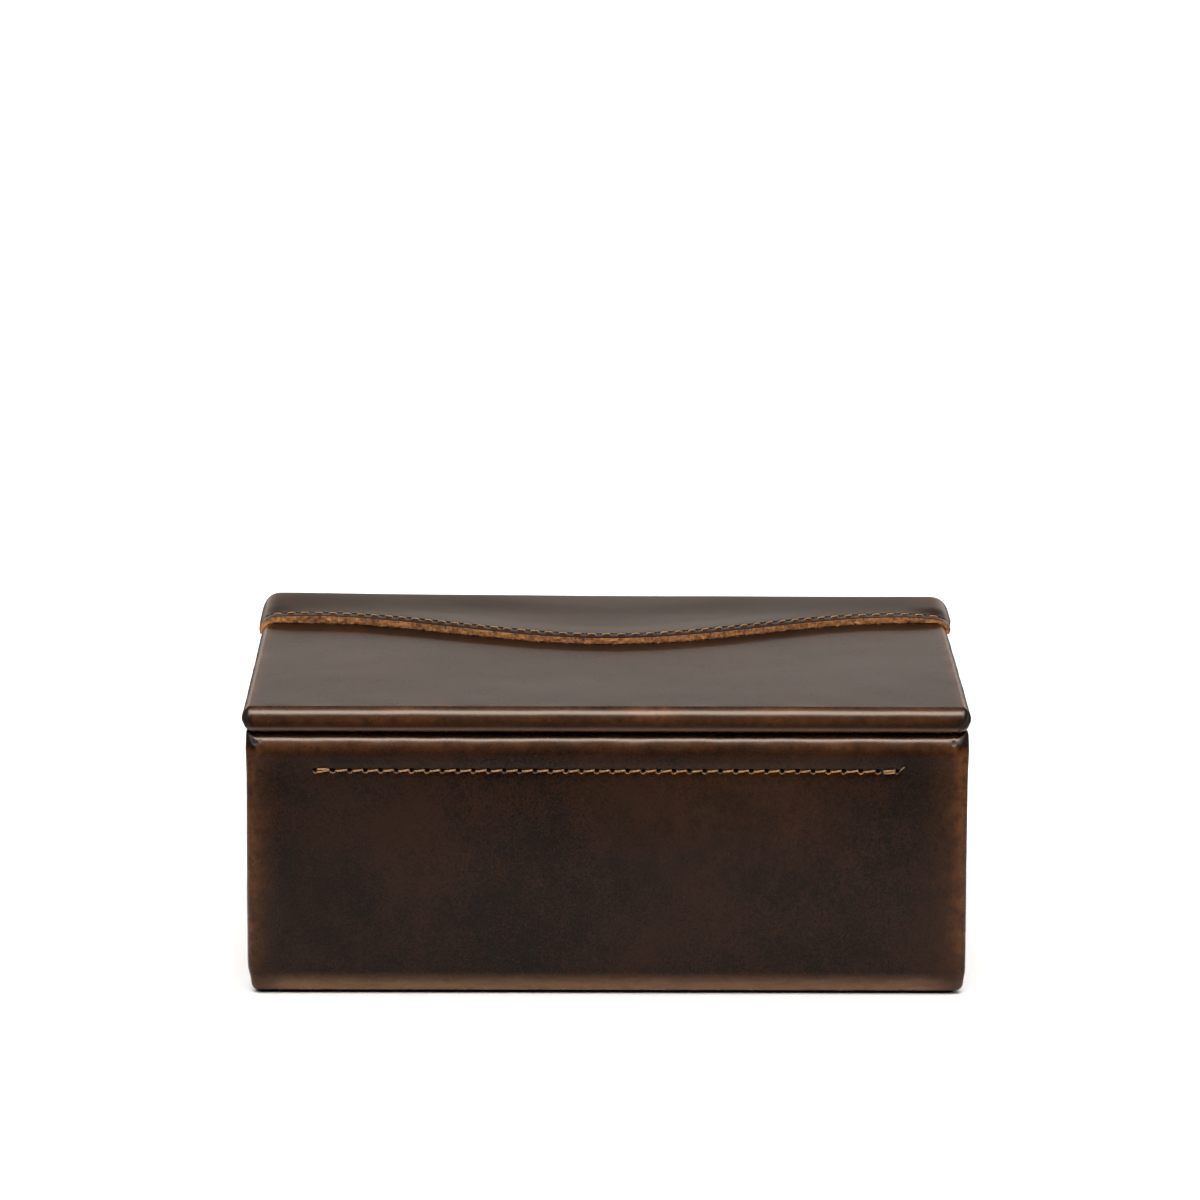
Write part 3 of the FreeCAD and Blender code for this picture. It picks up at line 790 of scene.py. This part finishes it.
lid_ends = lid_straight - np.linspace(4.0, 0.0, 12) * mm
lid_middle = np.linspace(-lid_ends[0], lid_ends[0], 140)[1:-1]
lid_columns = np.concatenate([-lid_ends[::-1], lid_middle, lid_ends]) / lid_straight
lid_sides = (lid_columns, np.linspace(-1, 1, 90)) * 2
lid_wall = np.linspace(lid_low.z + lid_foot_radius, lid_high.z - lid_edge_drop, 4)[1:-1]
lid_top = np.linspace(lid_edge_across, lid_half_depth - ring_tight, 44)[1:]
lid_profile = [(inset, lid_low.z) for inset in np.linspace(lid_turn_in, lid_foot_radius, 10)[:-1]]
lid_profile += arc(lid_foot_radius, 0, lid_low.z, lid_low.z + lid_foot_radius, False, 12)
lid_profile += [(0.0, level) for level in lid_wall]
lid_profile += [(inset, lid_high.z + drop) for inset, drop in lid_roll]
lid_profile += [(inset, lid_high.z) for inset in lid_top]
lid_grid = closing_row(loft(lid_low, lid_high, lid_profile, lid_corner, lid_sides, corner_turns))
lid_normal = -outward(lid_grid)
lid_normal[-1] = (0, 0, 1)
rows, columns = lid_grid.shape[:2]
x, y, z = np.moveaxis(lid_grid, 2, 0)
insets = np.array([inset for inset, _ in lid_profile] + [lid_half_depth])[:, None]
lid_normal[(insets[:, 0] > lid_turn_in) & (z[:, 0] > lid_low.z + 1 * mm)] = (0, 0, 1)
upper = ease(lid_low.z + 1 * mm, lid_low.z + 4 * mm, z)
from_side = lid_high.x - np.abs(x)
from_end = np.minimum(y - lid_low.y, lid_high.y - y)
edge = 1 - ease(1 * mm, 6 * mm, insets)
# The top lies in long swells and the edge is a little uneven.
height = upper * (0.16 * mm * wander(lid_grid, 70 * mm, 6.3) + 0.035 * mm * wander(lid_grid, 18 * mm, 2.2))
height += upper * edge * 0.12 * mm * wander(lid_grid, 13 * mm, 9.1)
# Each corner of the edge has a pinched fold, and the leather underneath meets there in a mitre.
drop_share = (lid_high.z - z) / (lid_high.z - lid_low.z)
crease_at = np.where(x > 0, 1.0 * mm + 2.6 * mm * drop_share, 1.5 * mm)
pinch = bell(from_side, crease_at, 0.6 * mm) * (from_end < 1.8 * mm) * edge
pinch *= ease(lid_low.z, lid_low.z + 1.5 * mm, z)
pinch *= ease(lid_high.z + 0.5 * mm, lid_high.z - 1.0 * mm, z) * np.where(x > 0, 1.0, 0.6)
mitre = (z < lid_low.z + 0.5 * mm) * bell(from_side - from_end, 0, 0.6 * mm)
height -= pinch_depth * pinch + mitre_depth * mitre
lid_points = lid_grid + lid_normal * height[..., None]
lid_points[..., 2] -= lean(y)
side_push = 0.45 * mm * ease(96 * mm, 99.5 * mm, z)
side_push -= 1.0 * mm * (1 - ease(94 * mm, 98 * mm, z)) * (1 - ease(3 * mm, 22 * mm, from_end))
lid_points[..., 0] += np.sign(x) * side_push * (1 - ease(3 * mm, 9 * mm, from_side))
# Wear: rubbed along the rolled edge; shade painted black in the folds, and painted shade with a duller sheen
# towards the corners and a painted shadow beside the flap.
lid_wear = 0.6 * edge * bell(z, 98.4 * mm, 1.8 * mm)
lid_wear += edge * bell(z, 102.0 * mm, 0.6 * mm) * np.where(from_side < from_end, 1.0, 0.8)
lid_wear += 0.8 * edge * bell(z, 100.6 * mm, 1.5 * mm) * ease(0.05, 0.5, wander(lid_grid, 24 * mm, 3.9))
lid_wear *= 0.85 + 0.5 * wander(lid_grid, 15 * mm, 4.7)
# Painted shade where the rolled edge turns round each front corner, which also dulls the sheen there.
dull_shaded_end = edge * (1 - ease(0.3 * mm, 3.4 * mm, from_side - crease_at)) * (from_end < 2.5 * mm)
dull_shaded_end *= ease(95 * mm, 98 * mm, z)
# Shade is painted black into the pinched folds and the mitres underneath.
lid_wear = np.clip(lid_wear, 0, 1) * (1 - dull_shaded_end) - 0.8 * pinch - 0.7 * mitre - 0.4 * dull_shaded_end
flap_edge, flap_slope = wave(x)
before_flap = (flap_edge - y) / np.sqrt(1 + flap_slope**2)
flap_edge_shadow = ease(-2 * mm, 0, before_flap) * (1 - ease(1 * mm, 13 * mm, before_flap))
# Painted shadow of the flap's edge, on the lid just in front of it, which also dulls the sheen there.
lid_wear -= 0.4 * (z > lid_high.z - 0.1 * mm) * flap_edge_shadow
# Painted reflection: a grey tan band on the lid's lower lip stands for the floor's light mirrored there.
lid_dust = 0.4 * edge * bell(z, 95.0 * mm, 0.6 * mm)
lid_faces = [face[::-1] for face in ring_faces(rows, columns)]
lid_thickness = np.full(rows * columns, wrap_leather)
points, faces, kinds, _ = thicken(
    lid_points.reshape(-1, 3), lid_faces, lid_normal.reshape(-1, 3), lid_thickness, 2, cut_swell
)
# Lid cowhide: the same hide pulled tight, so its dye and wax lie evenly and it mirrors the room softly.
lid_cowhide = pull_up_cowhide("waxed_lid_cowhide", 0.264, 0.276, 0.15, 0.12)
lid_finishes = [lid_cowhide, raw_edge, flesh_side]
lid_leather = skin("lid_leather", points, faces, lid_finishes, kinds, wear=lid_wear, dust=lid_dust)
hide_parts("lid_cover")
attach(lid_leather, "lid")

# Lid lining. A panel of the same tan suede, glued over the turned-in leather and the card under the lid.
# Its corners are rounded and its edges are soft, so it just covers the raw ends of the leather.
lid_suede = panel(
    "suede_lid_lining", "lid_lining", "down", suede, 3.0 * mm, suede_rounding, 0.1 * mm, suede_spacing
)
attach(lid_suede, "lid")

# Hinge flap. One thick piece of cowhide that covers the rear of the lid, is pressed down over its sides and
# rear, and runs on down the rear wall as the hinge. Its front edge is cut by hand in a wave and left raw.
fold_low, fold_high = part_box("hinge_fold")
leaf_low, leaf_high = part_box("rear_leaf")
flap_leather = 2.45 * mm
flap_edge_drop = 0.3 * mm
flap_gap = 0.45 * mm
flap_top_across = 7.0 * mm
flap_top_drop = 5.0 * mm
flap_corner = 7.3 * mm
flap_margin = 13.0 * mm
flap_seam_inset = 4.8 * mm
flap_seam_reach = 125.0 * mm
flap_swell, flap_swell_size, flap_swell_start = 0.2 * mm, 48 * mm, 7.7
flap_left_push = 0.8 * mm
flap_groove, leaf_groove, groove_half = 0.2 * mm, 0.3 * mm, 1.4 * mm
leaf_corner = 12.0 * mm
leaf_seam_level = leaf_low.z + 6.0 * mm
leaf_seam_reach = 105.4 * mm
# The seam runs one distance behind the wavy edge, with its holes spaced evenly along it.
edge_x = np.linspace(-flap_seam_reach, flap_seam_reach, 2401)
edge_y, edge_slope = wave(edge_x)
edge_stretch = np.sqrt(1 + edge_slope**2)
seam_x = edge_x - flap_seam_inset * edge_slope / edge_stretch
seam_y = edge_y + flap_seam_inset / edge_stretch
seam_run = np.concatenate([[0], np.cumsum(np.hypot(np.diff(seam_x), np.diff(seam_y)))])
flap_stitches = int(seam_run[-1] / stitch_pitch)
flap_hole_runs = (np.arange(flap_stitches + 1) - flap_stitches / 2) * stitch_pitch + seam_run[-1] / 2
# The flat top is a grid whose rows follow the wave and even out towards the rear.
inner_x = flap_high.x - flap_margin
inner_y = flap_high.y - flap_margin
hinge_half = leaf_high.x
hinge_column = hinge_half / (flap_high.x - flap_corner) * inner_x
side_columns = np.linspace(hinge_column, inner_x, 5)[1:]
cut_columns = np.linspace(-hinge_column, hinge_column, 490)
flap_columns = np.concatenate([-side_columns[::-1], cut_columns, side_columns])
column_edge, column_slope = wave(flap_columns)
column_stretch = np.sqrt(1 + column_slope**2)
column_seam = np.interp(flap_columns, seam_x, seam_y)
to_seam = np.array([0, 0.03, 0.07, 0.13, 0.21, 0.31, 0.42, 0.53, 0.63, 0.7])
past_seam = [-1.1, -0.8, -0.55, -0.35, -0.15, 0.05, 0.25, 0.45, 0.7, 1.0, 1.4, 2.0, 2.8, 3.8, 5.0]
flap_rows = [column_edge + (column_seam - column_edge) * share for share in to_seam]
flap_rows += [column_seam + step * mm * column_stretch for step in past_seam]
last_row = flap_rows[-1]
flap_rows += [last_row + (inner_y - last_row) * share for share in np.linspace(0, 1, 28)[1:]]
flat_level = np.full(len(flap_columns), flap_high.z)
top_grid = np.stack([np.column_stack([flap_columns, row, flat_level]) for row in flap_rows])
top_rows, top_columns = top_grid.shape[:2]
left_front, right_front = top_grid[0, 0, 1], top_grid[0, -1, 1]


def flap_side(inset, centre, column):
    """Points along one straight side of the flap, one distance in, spaced as one end column of its top."""
    front, back = column[0], column[-1]
    spaced = front + (column - front) / (back - front) * (flap_high.y - centre - front)
    return np.column_stack([np.full(top_rows, flap_high.x - inset), spaced])


def flap_ring(inset, level):
    """Points round the flap's sides and rear, one distance in, from the right front end to the left one."""
    centre = max(flap_corner, inset)
    turn = corner_turns * math.pi / 2
    right = flap_side(inset, centre, top_grid[:, -1, 1])
    right_turn = np.column_stack([np.cos(turn), np.sin(turn)]) * (centre - inset)
    right_turn += (flap_high.x - centre, flap_high.y - centre)
    rear_x = flap_columns[::-1] / inner_x * (flap_high.x - centre)
    rear = np.column_stack([rear_x, np.full(top_columns, flap_high.y - inset)])
    left_turn = (right_turn * (-1, 1))[::-1]
    left = (flap_side(inset, centre, top_grid[:, 0, 1]) * (-1, 1))[::-1]
    flat = np.concatenate([right, right_turn, rear, left_turn, left])
    return np.column_stack([flat, np.full(len(flat), level)])


# A band goes on from the top's border over the shoulders and down the sides and rear of the lid.
band_profile = [(inset, flap_high.z) for inset in np.arange(flap_margin - 0.5 * mm, 8.4 * mm, -0.5 * mm)]
band_profile += [(inset, flap_high.z) for inset in (7.9 * mm, 7.4 * mm)]
band_profile += arc(flap_top_across, 0, flap_high.z, flap_high.z - flap_top_drop, False, 16)
band_profile += [(0.0, level) for level in np.linspace(flap_high.z - flap_top_drop, flap_low.z, 7)[1:]]
band_grid = np.stack([flap_ring(inset, level) for inset, level in band_profile])
band_columns = band_grid.shape[1]
turn_count = len(corner_turns)
# The tail hangs from the rear of the band as the fold and the leaf, narrower by the side columns.
leaf_first = top_rows + turn_count + len(side_columns)
leaf_columns = top_columns - 2 * len(side_columns)
by_leaf_seam = [1.5, 1.1, 0.8, 0.5, 0.2, -0.1, -0.4, -0.7, -1.0, -1.4, -2.0, -2.8, -3.6, -4.4, -5.2]
fold_levels = np.linspace(fold_high.z, fold_low.z, 14)
leaf_levels = np.linspace(fold_low.z, leaf_seam_level + 2 * mm, 22)[1:]
seam_levels = leaf_seam_level + np.array(by_leaf_seam) * mm
tail_levels = np.concatenate([fold_levels, leaf_levels, seam_levels, [leaf_low.z]])
tail_levels = tail_levels[tail_levels < flap_low.z - 0.05 * mm]
tail_x = band_grid[-1, leaf_first : leaf_first + leaf_columns, 0]
above_end = np.clip(tail_levels - leaf_low.z, 0, leaf_corner)
tail_half = hinge_half - leaf_corner + np.sqrt(leaf_corner**2 - (leaf_corner - above_end) ** 2)
tail_rows = []
for level, half in zip(tail_levels, tail_half):
    row = np.column_stack([tail_x * half / hinge_half, np.full((leaf_columns, 2), (flap_high.y, level))])
    tail_rows.append(row)
tail_grid = np.stack(tail_rows)

top_index = np.arange(top_rows * top_columns).reshape(top_rows, top_columns)
right_repeat = np.full(turn_count, top_index[-1, -1])
left_repeat = np.full(turn_count, top_index[-1, 0])
join = [top_index[:, -1], right_repeat, top_index[-1, ::-1], left_repeat, top_index[::-1, 0]]
band_index = top_index.size + np.arange(band_grid.shape[0] * band_columns).reshape(-1, band_columns)
band_index = np.concatenate([np.concatenate(join)[None], band_index])
tail_index = band_index[-1, -1] + 1 + np.arange(tail_grid.shape[0] * leaf_columns).reshape(-1, leaf_columns)
tail_index = np.concatenate([band_index[-1, leaf_first : leaf_first + leaf_columns][None], tail_index])


def sheet_faces(index):
    """Quads between the rows of an index grid; a quad with a repeated point becomes a triangle."""
    faces = []
    for upper_row, lower_row in zip(index[:-1].tolist(), index[1:].tolist()):
        for k in range(len(upper_row) - 1):
            corners = (upper_row[k], lower_row[k], lower_row[k + 1], upper_row[k + 1])
            corners = tuple(dict.fromkeys(corners))
            if len(corners) > 2:
                faces.append(corners)
    return faces


def point_normals(points, faces):
    """Unit normal at each point, from the faces round it."""
    normals = np.zeros_like(points)
    for size in (3, 4):
        same = np.array([face for face in faces if len(face) == size])
        if len(same):
            one, two = (same[:, 2], same[:, 3]) if size == 4 else (same[:, 1], same[:, 2])
            base = same[:, 1] if size == 4 else same[:, 0]
            turned = np.cross(points[one] - points[same[:, 0]], points[two] - points[base])
            for k in range(size):
                np.add.at(normals, same[:, k], turned)
    _, same_place = np.unique(np.round(points / (0.001 * mm)), axis=0, return_inverse=True)
    shared = np.zeros_like(points)
    np.add.at(shared, same_place.ravel(), normals)
    shared = shared[same_place.ravel()]
    return shared / np.maximum(np.linalg.norm(shared, axis=1, keepdims=True), 1e-12)


def flap_rise(across, back):
    """How far the flap stands up from the lid, most at its rear left corner where the leather bunches."""
    left_side = bell(across, -127 * mm, 75 * mm)
    front = 0.45 * mm - 0.15 * mm * ease(60 * mm, 110 * mm, np.abs(across))
    rear = 0.95 * mm + 0.5 * mm * left_side
    return front + (rear - front) * ease(50 * mm, 87 * mm, back) + 0.5 * mm * left_side


def end_thin(across, behind):
    """How much thinner the flap is pressed at the two ends of its wavy edge."""
    amount = np.where(across > 0, 0.9 * mm, 0.4 * mm)
    return amount * ease(108 * mm, 125 * mm, np.abs(across)) * (1 - ease(2 * mm, 16 * mm, behind))


def left_push(across):
    """How far the left side of the flap is pushed in towards the lid."""
    return flap_left_push * ease(100 * mm, 120 * mm, -across)


def flap_swells(points):
    """Long swells of the leather at each point, which fade out at the lower end of the leaf."""
    swells = flap_swell * wander(points, flap_swell_size, flap_swell_start)
    return swells * ease(leaf_low.z, leaf_low.z + 10 * mm, points[:, 2])


flap_points = np.concatenate([top_grid.reshape(-1, 3), band_grid.reshape(-1, 3), tail_grid.reshape(-1, 3)])
flap_faces = [face[::-1] for face in sheet_faces(top_index)]
flap_faces += sheet_faces(band_index) + sheet_faces(tail_index)
flap_normal = point_normals(flap_points, flap_faces)
x, y, z = flap_points.T
on_top = ease(flap_high.z - 4 * mm, flap_high.z - 0.5 * mm, z)
edge_here, slope_here = wave(x)
stretch = np.sqrt(1 + slope_here**2)
behind_edge = (y - edge_here) / stretch
edge_zone = on_top * (1 - ease(0, 5.5 * mm, behind_edge))
# Stitch holes of the wavy seam and of the leaf's straight one.
seam_here = np.interp(x, seam_x, seam_y)
across = (y - seam_here) / stretch
run_here = np.interp(x, seam_x, seam_run) + (y - seam_here) * slope_here / stretch
flap_along = (run_here - flap_hole_runs[0] + stitch_pitch / 2) % stitch_pitch - stitch_pitch / 2
in_seam = on_top * (np.abs(x) < flap_seam_reach + 1 * mm)
from_flap_hole = np.hypot(flap_along / (1.35 * mm), (across - 0.2 * mm) / (0.75 * mm))
flap_pits = in_seam * (1 - ease(0.5, 1.15, from_flap_hole))
pucker = in_seam * bell(across, 1.3 * mm, 0.6 * mm) * bell(flap_along, 0, 1.4 * mm)
leaf_stitches = int(2 * leaf_seam_reach / stitch_pitch)
leaf_hole_x = (np.arange(leaf_stitches + 1) - leaf_stitches / 2) * stitch_pitch
leaf_along = (x - leaf_hole_x[0] + stitch_pitch / 2) % stitch_pitch - stitch_pitch / 2
on_leaf = (z < fold_low.z) * (np.abs(x) < leaf_hole_x[-1] + 1 * mm)
leaf_across = z - leaf_seam_level
leaf_pits = on_leaf * (1 - ease(0.4, 1.2, np.hypot(leaf_along / (0.75 * mm), leaf_across / (0.5 * mm))))
# Soft form: long swells, the edge pressed down, grooves along both seams and a hollow behind the front one.
smooth = flap_swells(flap_points)
edge_drop = flap_edge_drop * (1 - 0.65 * ease(60 * mm, 110 * mm, np.abs(x)))
smooth -= on_top * edge_drop * (1 - ease(0, flap_seam_inset, behind_edge)) + end_thin(x, behind_edge)
smooth += 0.2 * mm * pucker - 0.1 * mm * on_top * (1 - ease(0, 1.2 * mm, behind_edge))
smooth -= flap_groove * in_seam * bell(across, 0, groove_half)
hollow = ease(1 * mm, 16 * mm, across) * (1 - ease(22 * mm, 48 * mm, across))
smooth -= 0.2 * mm * on_top * hollow * ease(-95 * mm, -30 * mm, x) * (1 - ease(40 * mm, 95 * mm, x))
smooth -= leaf_groove * on_leaf * bell(leaf_across, 0, groove_half)
corner_lift = flap_rise(x, y) * on_top
# At its two front ends the side is shorter and lies closer to the lid.
from_front = y - np.where(x > 0, right_front, left_front)
front_end = (1 - ease(6 * mm, 26 * mm, from_front)) * (z < flap_high.z - 0.01 * mm)
flap_points[:, 2] += front_end * 3.4 * mm * ease(flap_high.z - 3 * mm, flap_low.z, z)
flap_points[:, 0] -= np.sign(x) * front_end * 1.5 * mm * ease(flap_high.z - 4 * mm, flap_low.z, z)
flap_points[:, 0] += left_push(x) * ease(flap_low.z, flap_low.z + 5 * mm, z)
flap_points = flap_points + flap_normal * smooth[:, None]
flap_points[:, 2] += corner_lift - lean(y)
# The knife wandered a little along the wavy edge.
edge_way = np.column_stack([wave(x)[1], -np.ones_like(x), np.zeros_like(x)]) / stretch[:, None]
uneven = 0.3 * mm * wander(flap_points, 16 * mm, 2.9) + 0.12 * mm * wander(flap_points, 2.4 * mm, 5.1)
flap_points += edge_way * (uneven * on_top * (1 - ease(0, 2.5 * mm, behind_edge)))[:, None]
flap_normal = point_normals(flap_points, flap_faces)
outer_count = len(flap_points)
flap_thickness = flap_leather - end_thin(x, behind_edge)
flap_thickness += edge_zone * (flap_rise(x, y) - edge_drop - flap_gap)
points, faces, kinds, cut = thicken(flap_points, flap_faces, flap_normal, flap_thickness, 6, 0.15 * mm)
points[:outer_count] -= flap_normal * (hole_depth * (flap_pits + leaf_pits))[:, None]
# The cut edge is rough, and most torn at its foot.
edge_points = points[cut["first"] :]
rough = 0.4 * mm * wander(edge_points, 1.3 * mm, 3.3) + 0.25 * mm * wander(edge_points, 0.5 * mm, 6.6)
points[cut["first"] :] += cut["away"] * (rough * (0.4 + cut["level"]))[:, None]
torn = 0.4 * mm * wander(edge_points, 2.6 * mm, 8.8) + 0.7 * mm * wander(edge_points, 1.1 * mm, 1.6)
points[cut["first"] :, 2] += torn * cut["level"] ** 3
# Wear: rubbed on the rear shoulders, and shade painted black into the holes; on the cut edge the mark
# grows towards the foot, where the edge is paler.
rear_corner = ease(108 * mm, 124 * mm, np.abs(x)) * ease(62 * mm, 84 * mm, y)
rear_corner *= bell(z, flap_high.z - 2.5 * mm, 2.5 * mm)
shoulder_rub = 0.3 * bell(z, flap_high.z - 3 * mm, 2 * mm) * (1 - on_top)
wear = np.zeros(len(points))
# Painted shade: black in the stitch holes of both seams.
wear[:outer_count] = np.clip(shoulder_rub + rear_corner, 0, 1) - 1.3 * np.maximum(flap_pits, leaf_pits)
wear[cut["first"] :] = cut["level"]
# Flap cowhide: the same hide with less wax left in it, so it mirrors a little less than the lid.
flap_cowhide = pull_up_cowhide("waxed_flap_cowhide", 0.284, 0.296, 0.108, 0.12)
flap = skin("hinge_flap", points, faces, [flap_cowhide, raw_edge, flesh_side], kinds, wear=wear)
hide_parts("lid_flap", "hinge_fold", "rear_leaf")
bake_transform(flap)

# Flap edge fibres. Short loose fibres of the hide, left standing where the knife cut the flap's front edge.
# They are thin, taper to a point, droop a little, and most of them grow near the foot of the edge.
rng = np.random.default_rng(11)
fibre_count = 1500
fibre_x = rng.uniform(-inner_x, inner_x, fibre_count)
fibre_depth = np.clip(rng.beta(3.0, 1.1, fibre_count), 0.05, 0.98)
fibre_length = rng.uniform(0.3, 1.2, fibre_count) * mm
fibre_radius = rng.uniform(0.035, 0.07, fibre_count) * mm
fibre_sway = rng.normal(0, 0.55, (fibre_count, 3))
fibre_steps = np.array([-0.15, 0.35, 0.7, 1.0])
fibre_taper = np.array([1.0, 0.85, 0.6, 0.25])
fibre_droop = np.array([0, 0, -0.25])
edge_row = points[top_index[0]]
edge_thickness = flap_thickness[top_index[0]]
fibre_meshes = []
for k in range(fibre_count):
    column = min(int(np.searchsorted(flap_columns, fibre_x[k])), top_columns - 1)
    root = edge_row[column] - np.array([0, 0, fibre_depth[k] * edge_thickness[column]])
    slope = wave(fibre_x[k])[1]
    way = np.array([slope, -1.0, 0.0]) / math.hypot(slope, 1) + fibre_sway[k] * (1, 0.3, 0.6)
    way /= np.linalg.norm(way)
    sag = fibre_droop * fibre_length[k] * (np.maximum(fibre_steps, 0) ** 2)[:, None]
    line = root + way * (fibre_length[k] * fibre_steps)[:, None] + sag
    fibre_meshes.append(tube(line, fibre_radius[k] * fibre_taper, 4))
# Loose hide fibre: a single undyed collagen fibre, pale tan and matt.
hide_fibre = speckled(
    "loose_hide_fibre", ("9a6238", "d3a67c"), 3 * mm, (0.35, 0.7),
    Roughness=0.8, IOR=1.4, Specular_IOR_Level=0.2,
)
points, faces = joined(fibre_meshes)
fibres = skin("flap_edge_fibres", points, faces, [hide_fibre])
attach(fibres, "lid")

# Flap seam. The same linen thread, sewn in a groove along the wavy edge through the flap and the lid's cover.
# The flap's pressed edge pinches it, so it looks a little thinner here than on the front.
flap_thread_size = 0.85
spot_x, spot_y = np.interp(flap_hole_runs, seam_run, seam_x), np.interp(flap_hole_runs, seam_run, seam_y)
slope = np.interp(flap_hole_runs, seam_run, edge_slope)
behind = np.column_stack([-slope, np.ones_like(slope), np.zeros_like(slope)]) / np.sqrt(1 + slope**2)[:, None]
shoulder = np.arcsin(np.clip(1 - (flap_high.x - np.abs(spot_x)) / flap_top_across, 0, 1))
tilt = np.arctan2(flap_top_drop * np.sin(shoulder), flap_top_across * np.cos(shoulder))
seam_out = np.column_stack([np.sign(spot_x) * np.sin(tilt), np.zeros(len(tilt)), np.cos(tilt)])
spot_z = flap_high.z - flap_groove - flap_top_drop * (1 - np.cos(shoulder))
spot_z += flap_rise(spot_x, spot_y) - lean(spot_y)
spots = np.column_stack([spot_x + left_push(spot_x), spot_y, spot_z])
seat = flap_swells(spots) - end_thin(spot_x, np.full(len(spot_x), flap_seam_inset))
spots += seam_out * seat[:, None]
flap_lines = [stitch_line(spots[k], spots[k + 1], behind[k], seam_out[k]) for k in range(flap_stitches)]
sew("flap_thread", "lid_seam_thread", "lid", flap_lines, seam_out[:-1], [flap_thread_size] * flap_stitches)

# Leaf seam. A straight row of the same linen thread near the lower end of the hinge leaf.
# It goes through the leaf and the wrap, and holds the hinge to the rear wall.
rear_out = np.array([0.0, 1.0, 0.0])
leaf_face = np.array([(hole_x, leaf_high.y, leaf_seam_level) for hole_x in leaf_hole_x[::-1]])
spots = leaf_face + rear_out * (flap_swells(leaf_face) - leaf_groove)[:, None]
leaf_lines = [stitch_line(a, b, upright, rear_out) for a, b in zip(spots[:-1], spots[1:])]
sew("leaf_thread", "leaf_seam_thread", "box", leaf_lines, [rear_out] * leaf_stitches, [1.0] * leaf_stitches)

# Stage. White paper under the box, a softbox overhead and one in front that only makes the sheen, bright
# cards behind and at both sides for the leather to mirror, and the camera at the photograph's place.
# Matt white paper: a smooth uncoated roll, so even that it shows only the box's soft shadow.
sweep = speckled(
    "matt_white_sweep", ("fbfbfa", "fdfdfc"), 400 * mm, (0.3, 0.7), Roughness=0.9, Specular_IOR_Level=0.1
)


def sheet_on_floor(name, reach, level):
    """Square white sheet that lies at one height."""
    corners = [(-reach, -reach, level), (reach, -reach, level), (reach, reach, level), (-reach, reach, level)]
    mesh = bpy.data.meshes.new(name)
    mesh.from_pydata(corners, [], [(0, 1, 2, 3)])
    mesh.materials.append(sweep)
    made = bpy.data.objects.new(name, mesh)
    bpy.context.scene.collection.objects.link(made)
    return made


sheet_on_floor("near_sheet", 0.36, 0.0)
far_sheet = sheet_on_floor("far_sheet", 30.0, -0.1 * mm)
far_sheet.visible_glossy = False


def softbox(name, at, aim, width, length, radiance):
    """Rectangular studio light that points at one place, with the brightness of its face."""
    lamp = bpy.data.lights.new(name, "AREA")
    lamp.shape = "RECTANGLE"
    lamp.size = width
    lamp.size_y = length
    lamp.energy = radiance * math.pi * width * length
    made = bpy.data.objects.new(name, lamp)
    made.location = at
    made.rotation_mode = "QUATERNION"
    made.rotation_quaternion = (Vector(aim) - Vector(at)).to_track_quat("-Z", "Y")
    made.visible_camera = False
    bpy.context.scene.collection.objects.link(made)
    return made


key = softbox("key", (0.0, -0.983, 1.298), (0.0, -0.08, 0.1), 1.7, 0.6, 58.0)
key.data.color = linear("ffe9d6")[:3]
key.visible_diffuse = False
overhead = softbox("overhead", (0.0, -0.35, 1.7), (0.0, -0.25, 0.0), 2.6, 1.8, 4.1)
overhead.visible_glossy = False
backdrop = softbox("backdrop", (0.0, 2.4, 0.35), (0.0, 0.0, 0.1), 3.2, 0.7, 1.22)
backdrop.data.color = linear("fff5ea")[:3]
back_floor = softbox("back_floor", (0.0, 2.6, 2.2), (0.0, 2.2, 0.0), 4.0, 3.0, 2.6)
back_floor.visible_glossy = False
for name, side in (("left_wall", -1), ("right_wall", 1)):
    softbox(name, (side * 2.2, 0.5, 0.6), (0.0, 0.0, 0.1), 3.0, 1.2, 0.45)
world = bpy.data.worlds.new("studio")
world.use_nodes = True
world.node_tree.nodes["Background"].inputs["Color"].default_value = linear("ffffff")
world.node_tree.nodes["Background"].inputs["Strength"].default_value = 0.08
bpy.context.scene.world = world
bpy.context.scene.view_settings.view_transform = "Standard"

lens = bpy.data.cameras.new("camera")
lens.sensor_width = 36.0
lens.lens = 177.06
camera = bpy.data.objects.new("camera", lens)
camera_place = Vector((-11.3, -2057.9, 552.3)) * mm
pitch, yaw, roll = math.radians(11.83), math.radians(-0.259), math.radians(0.175)
right = Vector((math.cos(yaw), math.sin(yaw), 0))
ahead = Vector((-math.sin(yaw) * math.cos(pitch), math.cos(yaw) * math.cos(pitch), -math.sin(pitch)))
down = ahead.cross(right)
level_right = math.cos(roll) * right - math.sin(roll) * down
level_down = math.sin(roll) * right + math.cos(roll) * down
turned = Matrix((level_right, -level_down, -ahead)).transposed().to_4x4()
camera.matrix_world = Matrix.Translation(camera_place) @ turned
bpy.context.scene.collection.objects.link(camera)
bpy.context.scene.camera = camera
